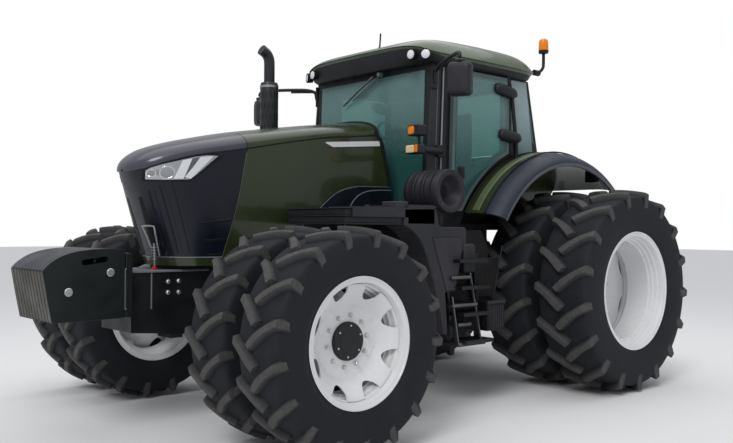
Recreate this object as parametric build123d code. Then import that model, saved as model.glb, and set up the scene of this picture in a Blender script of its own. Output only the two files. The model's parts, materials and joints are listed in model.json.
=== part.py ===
"""Four-wheel-drive row-crop tractor with dual wheels at every corner.

Frame: +X is the tractor's left side, +Y points to the rear, +Z is up. The origin is on the
ground, midway between the front of the ballast and the rear of the lower links. Millimetres.
"""

import os
from math import asin, atan2, cos, degrees, pi, radians, sin, sqrt

from build123d import *

os.makedirs("parts", exist_ok=True)

# ---------------------------------------------------------------- driving dimensions
wheelbase = 3560
front_overhang = 1530  # front axle to the face of the ballast
rear_overhang = 1130  # rear axle to the end of the lower links

# wheels: radius over the lugs, section width, rim flange radius, rim width
front_tyre_r = 783
front_tyre_w = 440
front_flange_r = 445
front_rim_w = 372
front_track = 2210  # between the inner wheels' middles
front_dual_gap = 601  # inner wheel's middle to outer wheel's middle
rear_tyre_r = 969
rear_tyre_w = 530
rear_flange_r = 560
rear_rim_w = 477
rear_track = 1891
rear_dual_gap = 661
lug_h_front = 42
lug_h_rear = 50
lug_w_front = 50
lug_w_rear = 60
lug_count = 17  # on each side of a tread, the two sides half a pitch apart
lug_slant = 0.7  # how far a lug lags at the shoulder, as a share of half the tread
rim_wall = 12
rim_lip = 36  # height of the flange over the bead seat
bead_inset = 24  # the bead's foot lies this far inside the rim's edge
lug_end_gap = 4  # the lug's outer end stays this far inside the tread's edge
lug_margin = radians(0.25)  # and its foot this far inside its own facet
lug_root = 60  # depth to which a lug is let into the body
well_depth = 42
disc_dish = 30
hand_holes = 8
hand_hole_l = 150
hand_hole_w = 46
hub_r_front = 138
hub_r_rear = 170

# hood
hood_wall = 14
hood_seam = 6  # gap between moving and fixed panels
nose_bottom_z = 1310
hood_bottom_z = 1265
hood_front_reach = 880  # front axle to the nose's tip
hood_rear_reach = 1470  # front axle to the hood's rear edge, at the top
hood_lean = 150  # how much further back the rear edge lies lower down
headlamp_in_x = 150
vent_count = 4
vent_low_z = 1480
vent_pitch = 62
vent_h = 22

# cab
cab_front_reach = 1745  # front axle to the front of the cab
cab_rear_gap = 190  # rear of the cab to the rear axle, seen from the side
cab_half_w = 860
cab_floor_z = 1600
cab_top_z = 3050
pillar = 95
roof_height = 280
roof_half_w = 930
roof_front_over = 120
roof_rear_over = 110
door_front_gap = 265  # front of the cab to the door's front edge
door_hinge_reach = 2880  # front axle to the door's hinge line
door_bottom_z = 1715
door_t = 40
door_gap = 7

# fenders
fender_tyre_gap = 20
fender_outer_x = 1240
fender_r_inner = 1380
fender_r_outer = 1250
fender_shift = 160  # the arch's centre lies this far ahead of the rear axle
fender_centre_z = 950
fender_t = 30

# chassis
frame_half_w = 250
frame_top_z = 1215
frame_bottom_z = 700
ballast_half_w = 305
ballast_top_z = 1390
ballast_bottom_z = 872
ballast_depth = 690
slab_count = 11
slab_gap = 6
through_bolt_r = 16
bolt_head_r = 30
bolt_head_t = 12
kingpin_x = 780
steer_arm_reach = 300
axle_z_front = front_tyre_r
axle_z_rear = rear_tyre_r

# rear linkage
link_pivot_z = 610
link_pivot_reach = 170  # rear axle to the lower links' front pins
link_arm = 450  # front pin to the lift rod's pin
lift_height = 640  # lower pin to the lift arm's pin above it
link_front_x = 345
link_rear_x = 505
link_eye_r = 36
link_pin_r = 18.65
link_eye_w = 45

# air canister beside the cab's front corner
canister_r = 178
canister_l = 415
canister_in_x = 832
canister_lead = 155  # canister ahead of the front of the cab
canister_z = 1872
canister_ribs = 3
canister_rib_pitch = 90

# lamps and mirrors
roof_lamp_r = 52
roof_lamp_stand = 8  # how far a roof lamp stands out of the roof's front
lamp_arm_r = 30
beacon_x = 850
beacon_overhang = 110  # beacon behind the roof
beacon_r = 55
beacon_low_z = 3375
beacon_high_z = 3525
mast_r = 14
socket_depth = 60
antenna_reach = 152  # behind the front of the cab
antenna_r = 8
antenna_top_z = 3478
mirror_w = 220
mirror_h = 310
mirror_t = 100

# fits
pin_fit = 0.05
part_gap = 0.3  # between pieces that seat on each other

# ---------------------------------------------------------------- places worked out
length = front_overhang + wheelbase + rear_overhang
front_y = -length / 2
rear_y = length / 2
front_axle_y = front_y + front_overhang
rear_axle_y = rear_y - rear_overhang
cab_front_y = front_axle_y + cab_front_reach
cab_rear_y = rear_axle_y - cab_rear_gap
door_front_y = cab_front_y + door_front_gap
door_hinge_y = front_axle_y + door_hinge_reach
nose_tip_y = front_axle_y - hood_front_reach
hood_rear_y = front_axle_y + hood_rear_reach
fender_y = rear_axle_y - fender_shift
slab_t = (2 * ballast_half_w - (slab_count - 1) * slab_gap) / slab_count
roof_top_z = cab_top_z + roof_height
canister_ring = canister_r + 14
canister_y = cab_front_y - canister_lead
antenna_y = cab_front_y + antenna_reach
fender_inner_x = rear_track / 2 - rear_tyre_w / 2 - fender_tyre_gap - fender_t


# ---------------------------------------------------------------- helpers
def block(x0, x1, y0, y1, z0, z1):
    """Box between two corners."""
    middle = Pos((x0 + x1) / 2, (y0 + y1) / 2, (z0 + z1) / 2)
    return middle * Box(abs(x1 - x0), abs(y1 - y0), abs(z1 - z0))


def side_slab(points, x0, x1):
    """Outline of (y, z) points, extruded across the tractor from x0 to x1."""
    plane = Plane(origin=(x0, 0, 0), x_dir=(0, 1, 0), z_dir=(1, 0, 0))
    return extrude(plane * make_face(Polyline(*points, close=True)), amount=x1 - x0)


def front_slab(points, y0, y1):
    """Outline of (x, z) points, extruded along the tractor from y0 back to y1."""
    plane = Plane(origin=(0, y1, 0), x_dir=(1, 0, 0), z_dir=(0, -1, 0))
    return extrude(plane * make_face(Polyline(*points, close=True)), amount=y1 - y0)


def plan_slab(points, z0, z1):
    """Outline of (x, y) points, extruded up from z0 to z1."""
    face = make_face(Polyline(*points, close=True))
    return Pos(0, 0, z0) * extrude(face, amount=z1 - z0)


def rod(start, end, radius):
    """Round bar between two points."""
    line = Vector(*end) - Vector(*start)
    plane = Plane(origin=start, z_dir=line)
    return extrude(plane * Circle(radius), amount=line.length)


def drum(x0, x1, y, z, radius):
    """Cylinder across the tractor."""
    return rod((x0, y, z), (x1, y, z), radius)


def bar(points, radius, bend):
    """Round bar along a path with rounded corners."""
    path = FilletPolyline(*points, radius=bend)
    plane = Plane(origin=path @ 0, z_dir=path % 0)
    return sweep(plane * Circle(radius), path=path)


def other_side(shape):
    """The same shape on the tractor's right side."""
    return mirror(shape, Plane.YZ)


def lathe_x(points):
    """Solid turned about the X axis from (x, r) points."""
    face = make_face(Polyline(*points, close=True))
    return revolve(face, Axis.X)


def save(name, *shapes):
    """Write the solids of one sub-part to its STEP file."""
    solids = [s for shape in shapes for s in shape.solids()]
    shape = solids[0] if len(solids) == 1 else Compound(solids)
    shape.label = name
    export_step(shape, f"parts/{name}.step")


# ---------------------------------------------------------------- wheels
def wheel_point(x, r, turn):
    """Point at radius r from the X axis, turned from the rear upwards."""
    return Vector(x, r * cos(turn), r * sin(turn))


def flat_face(*corners):
    """Flat face between three or four corners."""
    return make_face(Polyline(*corners, close=True))


def carcass(rows, turn):
    """Tyre body of flat facets, one to each lug, from (x, r) rows of its left half, tread first."""
    pitch = 2 * pi / lug_count
    rings = []
    for side in (1, -1):
        for x, r in rows[::side]:
            first = turn + (1 - side) * pitch / 4
            rings.append([wheel_point(side * x, r, first + pitch * k) for k in range(lug_count)])
    faces = []
    for index, ring in enumerate(rings):
        following = rings[(index + 1) % len(rings)]
        across = (index + 1) % len(rows) == 0
        for k in range(lug_count):
            a, b, c, d = ring[k - 1], ring[k], following[k], following[k - 1]
            if across and index < len(rows):
                faces += [flat_face(a, b, d), flat_face(b, c, d)]
            elif across:
                faces += [flat_face(a, b, c), flat_face(a, c, d)]
            else:
                faces.append(flat_face(a, b, c, d))
    return Solid(Shell(faces))


def tyre(radius, width, flange_r, rim_w, lug_h, lug_w):
    """Tyre about X, its middle at x = 0 and one lug's corner standing on the ground."""
    pitch = 2 * pi / lug_count
    half = width / 2
    tread_x = half * 0.94
    floor_r = (radius - lug_h) * 1.004
    bead_r = (flange_r - rim_lip) / cos(pitch / 2)
    rows = [
        (tread_x, floor_r),
        (half, flange_r + (radius - flange_r) * 0.5),
        (rim_w / 2 - bead_inset, bead_r),
    ]
    lug_x = tread_x - lug_end_gap
    reach = (lug_slant * tread_x + lug_w) / 2
    half_angle = asin(reach / radius)
    top_r = radius * cos(half_angle)
    root_r = floor_r - lug_root
    start = -pi / 2 + half_angle
    foot_angle = asin(reach / (floor_r * cos(pitch / 2)))
    body = carcass(rows, start - foot_angle - lug_margin)
    lugs = []
    for side, first in ((1, start), (-1, start + pitch / 2)):
        for k in range(lug_count):
            turn = first + pitch * k
            base = wheel_point(0, root_r, turn)
            plane = Plane(origin=base, x_dir=(1, 0, 0), z_dir=(0, cos(turn), sin(turn)))
            outline = Polyline(
                (0, -reach),
                (side * lug_x, reach - lug_w),
                (side * lug_x, reach),
                (0, lug_w - reach),
                close=True,
            )
            lugs.append(extrude(plane * make_face(outline), amount=top_r - root_r))
    return body + lugs


def rim(flange_r, rim_w, disc_x, hub_r):
    """Rim about X: a barrel with two flanges and a well, and a dished disc with hand holes."""
    half = rim_w / 2
    well_r = flange_r - rim_lip - part_gap
    barrel = [
        (-half, flange_r),
        (-half + rim_wall, flange_r),
        (-half + rim_wall, well_r),
        (half - rim_wall, well_r),
        (half - rim_wall, flange_r),
        (half, flange_r),
        (half, well_r - rim_wall),
        (half * 0.6, well_r - rim_wall),
        (half * 0.5, well_r - well_depth),
        (-half * 0.5, well_r - well_depth),
        (-half * 0.6, well_r - rim_wall),
        (-half, well_r - rim_wall),
    ]
    disc_out = well_r - rim_wall / 2
    disc_back = disc_x + disc_dish
    disc = [
        (disc_x, 0),
        (disc_x, hub_r * 1.5),
        (disc_back, disc_out * 0.72),
        (disc_back, disc_out),
        (disc_back + rim_wall, disc_out),
        (disc_back + rim_wall, disc_out * 0.72),
        (disc_x + rim_wall, hub_r * 1.5),
        (disc_x + rim_wall, 0),
    ]
    dish = lathe_x(disc)
    hole_r = (well_r - well_depth) - hand_hole_w / 2 - 2 * rim_wall
    for index in range(hand_holes):
        turn = 2 * pi * (index + 0.5) / hand_holes
        base = wheel_point(disc_x - disc_dish, hole_r, turn)
        plane = Plane(origin=base, x_dir=(0, -sin(turn), cos(turn)), z_dir=(1, 0, 0))
        dish -= extrude(plane * SlotOverall(hand_hole_l, hand_hole_w), amount=4 * disc_dish)
    return lathe_x(barrel) + dish


def wheel_set(axle_y, axle_z, middle, gap, tyre_args, rim_args, hub_r, hub_in):
    """One corner's twin wheels on the left side: two tyres, and both rims on one hub."""
    flange_r, rim_w, disc_inner, disc_outer = rim_args
    tyres = []
    rims = None
    for offset, disc_x in ((0, disc_inner), (gap, disc_outer)):
        place = Pos(middle + offset, axle_y, axle_z)
        tyres.append(place * tyre(*tyre_args))
        one = place * rim(flange_r, rim_w, disc_x, hub_r)
        rims = one if rims is None else rims + one
    outer_face = middle + gap + disc_outer
    hub = drum(middle + hub_in, outer_face + 20, axle_y, axle_z, hub_r)
    cap = drum(outer_face, outer_face + 95, axle_y, axle_z, hub_r * 0.9)
    return tyres, rims + hub + cap


front_tyres, front_rims = wheel_set(
    front_axle_y,
    axle_z_front,
    front_track / 2,
    front_dual_gap,
    (front_tyre_r, front_tyre_w, front_flange_r, front_rim_w, lug_h_front, lug_w_front),
    (front_flange_r, front_rim_w, 20, 5),
    hub_r_front,
    -60,
)
rear_tyres, rear_rims = wheel_set(
    rear_axle_y,
    axle_z_rear,
    rear_track / 2,
    rear_dual_gap,
    (rear_tyre_r, rear_tyre_w, rear_flange_r, rear_rim_w, lug_h_rear, lug_w_rear),
    (rear_flange_r, rear_rim_w, 40, -150),
    hub_r_rear,
    -40,
)
front_hub_end = front_track / 2 - 60
rear_hub_end = rear_track / 2 - 40
for side, flip in (("left", False), ("right", True)):
    for place, tyres, rims in (("front", front_tyres, front_rims), ("rear", rear_tyres, rear_rims)):
        tyre_pair = [other_side(t) if flip else t for t in tyres]
        save(f"{place}_tyres_{side}", *tyre_pair)
        save(f"{place}_rims_{side}", other_side(rims) if flip else rims)


# ---------------------------------------------------------------- front axle and steering
beam_half = 95
yoke_gap = 6
knuckle_r = 120
knuckle_h = 330
stub_r = 70
beam_end = kingpin_x - knuckle_r - yoke_gap

front_beam = front_slab(
    [
        (-beam_end, axle_z_front - 70),
        (-250, axle_z_front - 130),
        (250, axle_z_front - 130),
        (beam_end, axle_z_front - 70),
        (beam_end, axle_z_front + 70),
        (250, axle_z_front + 110),
        (-250, axle_z_front + 110),
        (-beam_end, axle_z_front + 70),
    ],
    front_axle_y - beam_half,
    front_axle_y + beam_half,
)
yoke_t = 42
kingpin_r = 30
knuckle_top = axle_z_front + knuckle_h / 2
knuckle_bottom = axle_z_front - knuckle_h / 2
for sign in (1, -1):
    for low, high in (
        (knuckle_top + part_gap, knuckle_top + part_gap + yoke_t),
        (knuckle_bottom - part_gap - yoke_t, knuckle_bottom - part_gap),
    ):
        x_in = sign * (beam_end - 60)
        x_out = sign * kingpin_x
        front_beam += block(
            min(x_in, x_out), max(x_in, x_out), front_axle_y - 60, front_axle_y + 60, low, high
        )
        front_beam += Pos(x_out, front_axle_y, (low + high) / 2) * Cylinder(60, yoke_t)
    x_a = sign * (beam_end - 90)
    x_b = sign * (beam_end - 2)
    front_beam += block(
        min(x_a, x_b),
        max(x_a, x_b),
        front_axle_y - 60,
        front_axle_y + 60,
        knuckle_bottom - part_gap - yoke_t,
        knuckle_top + part_gap + yoke_t,
    )
    front_beam -= Pos(sign * kingpin_x, front_axle_y, axle_z_front) * Cylinder(
        kingpin_r + pin_fit, knuckle_h + 4 * yoke_t
    )
arm_x = kingpin_x
arm_z = axle_z_front - 110
arm_t = 36
arm_eye_r = 34
tie_pin_r = 16
knuckle = Pos(kingpin_x, front_axle_y, axle_z_front) * Cylinder(knuckle_r, knuckle_h)
knuckle += Pos(kingpin_x, front_axle_y, axle_z_front) * Cylinder(
    kingpin_r, knuckle_h + 2 * (yoke_t + part_gap)
)
knuckle += drum(kingpin_x, front_hub_end - part_gap, front_axle_y, axle_z_front, stub_r * 1.5)
arm = plan_slab(
    [
        (kingpin_x - 45, front_axle_y),
        (kingpin_x + 45, front_axle_y),
        (arm_x + arm_eye_r, front_axle_y + steer_arm_reach),
        (arm_x - arm_eye_r, front_axle_y + steer_arm_reach),
    ],
    arm_z - arm_t / 2,
    arm_z + arm_t / 2,
)
arm += Pos(arm_x, front_axle_y + steer_arm_reach, arm_z) * Cylinder(arm_eye_r, arm_t)
knuckle += arm
knuckle += Pos(arm_x, front_axle_y + steer_arm_reach, arm_z + arm_t) * Cylinder(
    tie_pin_r, arm_t * 2
)
save("knuckle_left", knuckle)
save("knuckle_right", other_side(knuckle))

tie_z = arm_z + arm_t + 4
tie_y = front_axle_y + steer_arm_reach
tie_rod = rod((-arm_x, tie_y, tie_z), (arm_x, tie_y, tie_z), 15)
for sign in (1, -1):
    tie_rod += Pos(sign * arm_x, tie_y, tie_z) * Cylinder(30, arm_t)
    tie_rod -= Pos(sign * arm_x, tie_y, tie_z) * Cylinder(tie_pin_r + pin_fit, arm_t * 2)
save("tie_rod", tie_rod)

# ---------------------------------------------------------------- frame, engine, driveline
engine_front_y = front_axle_y - 420
engine_rear_y = front_axle_y + 1250
radiator_half_w = 225
pivot_gap = 20
sump_bottom_z = axle_z_front + 30
beam_top = axle_z_front + 110
carrier_front = front_y + ballast_depth + part_gap
carrier = side_slab(
    [
        (carrier_front, frame_bottom_z + 60),
        (front_axle_y - 180, frame_bottom_z),
        (front_axle_y - 150, beam_top + pivot_gap),
        (front_axle_y + 150, beam_top + pivot_gap),
        (front_axle_y + 180, sump_bottom_z),
        (engine_rear_y, sump_bottom_z),
        (engine_rear_y, frame_top_z),
        (carrier_front, frame_top_z),
    ],
    -frame_half_w,
    frame_half_w,
)
pivot_block = block(
    -90, 90, front_axle_y + beam_half + 4, front_axle_y + 178, axle_z_front - 80, beam_top + 30
)
pivot_block += block(
    -90, 90, front_axle_y - 178, front_axle_y - beam_half - 4, axle_z_front - 80, beam_top + 30
)
trunnion_r = 45
pivot_block += rod(
    (0, front_axle_y - 175, axle_z_front), (0, front_axle_y + 175, axle_z_front), trunnion_r
)
carrier += pivot_block
front_beam -= rod(
    (0, front_axle_y - 200, axle_z_front),
    (0, front_axle_y + 200, axle_z_front),
    trunnion_r + pin_fit,
)
save("front_axle", front_beam)
save("front_frame", carrier)

engine = block(-260, 260, engine_front_y, engine_rear_y, frame_top_z, 1980)
engine += block(-radiator_half_w, radiator_half_w, engine_front_y - 110, engine_front_y, 1330, 1940)
save("engine", engine)

lift_seat_z = 1150
gearbox_rear_y = rear_axle_y + 120
gearbox = side_slab(
    [
        (engine_rear_y, 620),
        (rear_axle_y - 400, 560),
        (rear_axle_y + 70, 560),
        (gearbox_rear_y, 700),
        (gearbox_rear_y, lift_seat_z),
        (rear_axle_y - 60, lift_seat_z),
        (rear_axle_y - 250, 1420),
        (engine_rear_y, 1420),
    ],
    -240,
    240,
)
for mount_y in (cab_front_y + 200, rear_axle_y - 340):
    for sign in (1, -1):
        gearbox += Pos(sign * 170, mount_y, 1470) * Box(120, 120, 140 - 2 * part_gap)

post_y = front_axle_y + 1620
hood_post = block(-250, 250, post_y - 22, post_y + 22, 2340, 2380)
for sign in (1, -1):
    hood_post += block(
        min(sign * 208, sign * 250), max(sign * 208, sign * 250), post_y - 22, post_y + 22,
        1420 + part_gap / 2, 2450,
    )
    hood_post += block(
        min(sign * 134, sign * 176), max(sign * 134, sign * 176), post_y - 22, post_y + 22,
        2341, 2450,
    )
hood_post += drum(-250, 250, post_y, 2420, 14)
save("hood_support", hood_post)

trumpet = lathe_x([(240, 0), (240, 210), (420, 150), (520, 140), (520, 0)])
trumpet = Pos(0, rear_axle_y, axle_z_rear) * trumpet
flange = drum(520, rear_hub_end - part_gap, rear_axle_y, axle_z_rear, 165)
trumpet += flange
save("axle_housings", trumpet, other_side(trumpet))

# ballast: a stack of slabs across the nose
ballast_front_y = front_y
ballast_rear_y = ballast_front_y + ballast_depth
ballast_profile = [
    (ballast_front_y + 80, ballast_bottom_z),
    (ballast_rear_y, ballast_bottom_z + 10),
    (ballast_rear_y, ballast_top_z - 30),
    (ballast_front_y + 540, ballast_top_z),
    (ballast_front_y + 370, ballast_top_z),
    (ballast_front_y + 230, ballast_top_z - 20),
    (ballast_front_y + 110, ballast_top_z - 60),
    (ballast_front_y, 1255),
]
ballast_grip = Plane.YZ * Pos(ballast_front_y + 380, 1315) * SlotOverall(180, 34)
slab = side_slab(ballast_profile, 0, slab_t) - extrude(ballast_grip, amount=slab_t)
ballast = []
for index in range(slab_count):
    ballast.append(Pos(index * (slab_t + slab_gap) - ballast_half_w, 0, 0) * slab)
for bolt_y, bolt_z in ((ballast_front_y + 190, 1090), (ballast_front_y + 500, 1220)):
    reach = ballast_half_w + bolt_head_t
    ballast.append(drum(-reach, reach, bolt_y, bolt_z, through_bolt_r))
    ballast.append(drum(-reach, 1 - ballast_half_w, bolt_y, bolt_z, bolt_head_r))
    ballast.append(drum(ballast_half_w - 1, reach, bolt_y, bolt_z, bolt_head_r))
save("ballast", ballast[0] + ballast[1:])

# ---------------------------------------------------------------- hood
def hull_section(y, foot_w, crease_w, crease_z, shoulder_w, shoulder_z, top_z, trim, bottom):
    """Half-hexagon of the hood at y with a crowned top; trim draws it in for the inside."""
    plane = Plane(origin=(0, y, 0), x_dir=(1, 0, 0), z_dir=(0, -1, 0))
    foot = foot_w - trim
    crease = crease_w - trim
    shoulder = shoulder_w - trim * 0.6
    right = Polyline(
        (-shoulder, shoulder_z - trim), (-crease, crease_z), (-foot, bottom), (foot, bottom)
    )
    left = Polyline((foot, bottom), (crease, crease_z), (shoulder, shoulder_z - trim))
    crown = ThreePointArc(
        (shoulder, shoulder_z - trim), (0, top_z - trim), (-shoulder, shoulder_z - trim)
    )
    return plane * make_face(right + left + crown)


# reach from the front axle, foot, crease and shoulder half-widths, heights
hull_rows = (
    (1620, 445, 455, 2405, 385, 2500, 2565),
    (50, 425, 437, 2172, 372, 2280, 2340),
    (-450, 330, 385, 2085, 322, 2175, 2230),
    (-760, 180, 235, 2015, 190, 2075, 2120),
    (-900, 110, 140, 1985, 105, 2030, 2065),
)


def hull(trim, bottom):
    """Closed body of the hood and nose, drawn in by trim."""
    faces = []
    for reach, foot, crease, crease_z, shoulder, shoulder_z, top_z in hull_rows:
        faces.append(
            hull_section(
                front_axle_y + reach,
                foot,
                crease,
                crease_z,
                shoulder,
                shoulder_z,
                top_z,
                trim,
                bottom,
            )
        )
    return loft(faces, ruled=True)


def nose_profile(inset):
    """Side outline that the nose is cut to, inset by the wall's thickness."""
    return [
        (front_axle_y - 560 + inset, nose_bottom_z - 60),
        (front_axle_y - 590 + inset, 1500),
        (front_axle_y - 660 + inset, 1790),
        (nose_tip_y + inset, 2045),
        (nose_tip_y + 40 + inset, 2075),
        (nose_tip_y + 40 + inset, 2700),
        (hood_rear_y + 400, 2700),
        (hood_rear_y + 400, nose_bottom_z - 60),
    ]


outer = hull(0, hood_bottom_z) & side_slab(nose_profile(0), -600, 600)
inner = hull(hood_wall, hood_bottom_z - 50) & side_slab(nose_profile(hood_wall), -600, 600)
shell = outer - inner

# the rear edge, the dark nose's seam and the wave along the lower side panel
rear_cut = side_slab(
    [
        (hood_rear_y, 2800),
        (hood_rear_y, 2480),
        (hood_rear_y + hood_lean, 1800),
        (hood_rear_y + hood_lean, 1000),
        (hood_rear_y + 900, 1000),
        (hood_rear_y + 900, 2800),
    ],
    -700,
    700,
)
seam_top = (front_axle_y + 60, 2700)
seam_mid = (front_axle_y + 60, 2200)
seam_low = (front_axle_y - 160, 1200)
nose_side = [seam_top, seam_mid, seam_low, (nose_tip_y - 200, 1200), (nose_tip_y - 200, 2700)]
wave = [
    (hood_rear_y + 900, 1925),
    (front_axle_y + 1230, 1920),
    (front_axle_y + 1080, 1895),
    (front_axle_y + 950, 1840),
    (front_axle_y + 780, 1700),
    (front_axle_y + 520, 1480),
    (front_axle_y + 330, 1265),
]
lower_zone = side_slab(wave + [(front_axle_y + 330, 1000), (hood_rear_y + 900, 1000)], -700, 700)
shell_trimmed = shell - rear_cut
nose_zone = side_slab(nose_side, -700, 700)
nose = shell_trimmed & nose_zone
nose_slab = side_slab([(y + part_gap, z) for y, z in nose_side], -700, 700)
green = shell_trimmed - nose_slab - lower_zone
hinge_y = front_axle_y + 1620
hood_hinge_z = 2420
hinge_pin_r = 14
for sign in (1, -1):
    x_a = sign * 180
    x_b = sign * 204
    hood_arm = side_slab(
        [
            (hood_rear_y - 260, 2425),
            (hinge_y, hood_hinge_z - 26),
            (hinge_y + 26, hood_hinge_z),
            (hinge_y, hood_hinge_z + 26),
            (hood_rear_y - 60, 2540),
            (hood_rear_y - 260, 2530),
        ],
        min(x_a, x_b),
        max(x_a, x_b),
    )
    hood_arm -= drum(
        min(x_a, x_b) - 5, max(x_a, x_b) + 5, hinge_y, hood_hinge_z, hinge_pin_r + pin_fit
    )
    green += hood_arm & hull(1, hood_bottom_z)
save("hood_panels", green)

# headlamps wrap round the nose's corners under the crease; slots let air out behind them
headlamp_outline = (
    (-750, 1945),
    (-735, 2005),
    (-450, 2070),
    (-160, 2128),
    (-200, 2060),
    (-430, 1925),
    (-620, 1905),
)
lamp_face = make_face(
    Polyline(*[(front_axle_y + reach, z) for reach, z in headlamp_outline], close=True)
)
headlamps = []
for inset, x_in in ((0, headlamp_in_x), (part_gap, headlamp_in_x + part_gap)):
    zone = extrude(Plane.YZ * offset(lamp_face, amount=-inset), amount=600)
    zone -= block(-1, x_in, nose_tip_y - 50, front_axle_y, 1800, 2200)
    headlamps.append(zone)
lamp_pocket, lamp_zone = headlamps
lamp_glass = (nose & lamp_zone) + (nose & other_side(lamp_zone))
nose -= lamp_pocket + other_side(lamp_pocket)
for index in range(vent_count):
    vent_z = vent_low_z + index * vent_pitch
    shift = index * vent_pitch * 0.2
    vent = side_slab(
        [
            (front_axle_y - 350 + shift, vent_z),
            (front_axle_y - 120 + shift, vent_z + 30),
            (front_axle_y - 120 + shift, vent_z + 30 + vent_h),
            (front_axle_y - 350 + shift, vent_z + vent_h),
        ],
        -600,
        600,
    )
    nose -= vent
save("nose", nose)
save("headlamps", lamp_glass)

# fixed lower engine panels, under the wave
panel_zone = side_slab(
    [(y, z - hood_seam) for y, z in wave]
    + [(front_axle_y + 330, 1240), (front_axle_y + 1640, 1240), (front_axle_y + 1640, 1919)],
    -700,
    700,
)
panels = (hull(0, 1240) - hull(hood_wall, 1200)) & panel_zone
engine_half_w = 260
for bracket_y in (front_axle_y + 700, front_axle_y + 1150):
    cross = block(-600, 600, bracket_y - 25, bracket_y + 25, 1500, 1540)
    cross -= block(
        -engine_half_w - part_gap, engine_half_w + part_gap, bracket_y - 30, bracket_y + 30, 1490,
        1550,
    )
    panels += cross & hull(5, 1240)
save("engine_side_panels", *panels.solids())

# ---------------------------------------------------------------- fenders
def fender_ring(points, start, end):
    """Sector turned about the arch's own axis, from (x, r) points, from start to end degrees."""
    plane = Plane(origin=(0, fender_y, fender_centre_z), x_dir=(1, 0, 0), z_dir=(0, 0, 1))
    turned = [(x, -r) for x, r in points]
    face = plane * make_face(Polyline(*turned, close=True))
    axis = Axis((0, fender_y, fender_centre_z), (1, 0, 0))
    return revolve(face.rotate(axis, -start), axis, -(end - start))


fender_front_angle = 33
fender_rear_angle = 130
fender_plate_r = 1000
fender_crown = (
    (fender_inner_x, fender_r_inner),
    (fender_outer_x - 240, fender_r_inner - 3),
    (fender_outer_x - 90, fender_r_inner - 33),
    (fender_outer_x - 15, fender_r_outer + 50),
    (fender_outer_x, fender_r_outer),
)
fender_under = [(x - fender_t * 0.75, r - fender_t) for x, r in fender_crown[1:-1]]
fender_section = [(fender_inner_x, fender_plate_r)] + list(fender_crown)
fender_section += [(fender_outer_x - fender_t, fender_r_outer)] + fender_under[::-1]
fender_section += [
    (fender_inner_x + fender_t, fender_r_inner - fender_t),
    (fender_inner_x + fender_t, fender_plate_r),
]
fender = fender_ring(fender_section, fender_front_angle, fender_rear_angle)
save("fenders", fender, other_side(fender))
fender_body = fender_ring(
    [(fender_inner_x - part_gap, 0), (fender_inner_x - part_gap, fender_r_inner + part_gap)]
    + [(x + part_gap, r + part_gap) for x, r in fender_crown[1:]]
    + [(fender_outer_x + part_gap, 0)],
    fender_front_angle - 40,
    fender_rear_angle + 30,
)

# ---------------------------------------------------------------- cab
wall_x = cab_half_w - door_t - 2 * part_gap
cab_outline = [
    (cab_front_y, cab_floor_z - 60),
    (cab_front_y + 45, cab_top_z),
    (cab_rear_y - 160, cab_top_z),
    (cab_rear_y, 2340),
    (cab_rear_y, cab_floor_z - 60),
]
cab_room = [
    (cab_front_y + 55, cab_floor_z),
    (cab_front_y + 95, cab_top_z - 50),
    (cab_rear_y - 215, cab_top_z - 50),
    (cab_rear_y - 55, 2335),
    (cab_rear_y - 55, cab_floor_z),
]
cab = side_slab(cab_outline, -wall_x, wall_x)
cab -= side_slab(cab_room, -(wall_x - 50), wall_x - 50)
cab -= fender_body + other_side(fender_body)
cab_low = block(
    -(fender_inner_x - 2), fender_inner_x - 2, cab_front_y + 20, cab_rear_y - 1, cab_floor_z - 60,
    cab_floor_z,
)
cab += cab_low
sill_w = wall_x - pillar - 10
cab -= block(-sill_w, sill_w, cab_front_y - 100, cab_front_y + 200, 1760, cab_top_z - 70)
cab -= block(-sill_w, sill_w, cab_rear_y - 400, cab_rear_y + 100, 2330, cab_top_z - 70)
door_arc_r = fender_r_inner + 72
door_arc_front = sqrt(door_arc_r**2 - (door_bottom_z - fender_centre_z) ** 2)
door_arc_rear = door_hinge_y - 25


def door_face(inset, top_inset):
    """Door outline in the side plane, with the arc over the fender, drawn in by inset."""
    radius = door_arc_r + inset
    low = door_bottom_z + inset
    front = door_front_y + inset
    rear = door_arc_rear - inset
    high = cab_top_z - 14 - top_inset
    corner = (fender_y - sqrt(radius**2 - (low - fender_centre_z) ** 2), low)
    rear_low = (rear, fender_centre_z + sqrt(radius**2 - (fender_y - rear) ** 2))
    half_angle = (
        atan2(corner[1] - fender_centre_z, fender_y - corner[0])
        + atan2(rear_low[1] - fender_centre_z, fender_y - rear_low[0])
    ) / 2
    middle = (fender_y - radius * cos(half_angle), fender_centre_z + radius * sin(half_angle))
    lines = Polyline(corner, (front, low), (front + 40, high), (rear, high), rear_low)
    return make_face(lines + ThreePointArc(rear_low, middle, corner))


def door_slab(inset, top_inset, x0, x1):
    """Door outline extruded across from x0 to x1."""
    plane = Plane(origin=(x0, 0, 0), x_dir=(0, 1, 0), z_dir=(1, 0, 0))
    return extrude(plane * door_face(inset, top_inset), amount=x1 - x0)


opening = door_slab(35, 60, wall_x - 200, wall_x + 50)
cab -= opening + other_side(opening)
quarter = side_slab(
    [
        (door_hinge_y + 70, 2450),
        (door_hinge_y + 70, cab_top_z - 74),
        (cab_rear_y - 210, cab_top_z - 74),
        (cab_rear_y - 95, 2450),
    ],
    wall_x - 200,
    wall_x + 50,
)
cab -= quarter + other_side(quarter)
save("cab_frame", cab)

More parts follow.
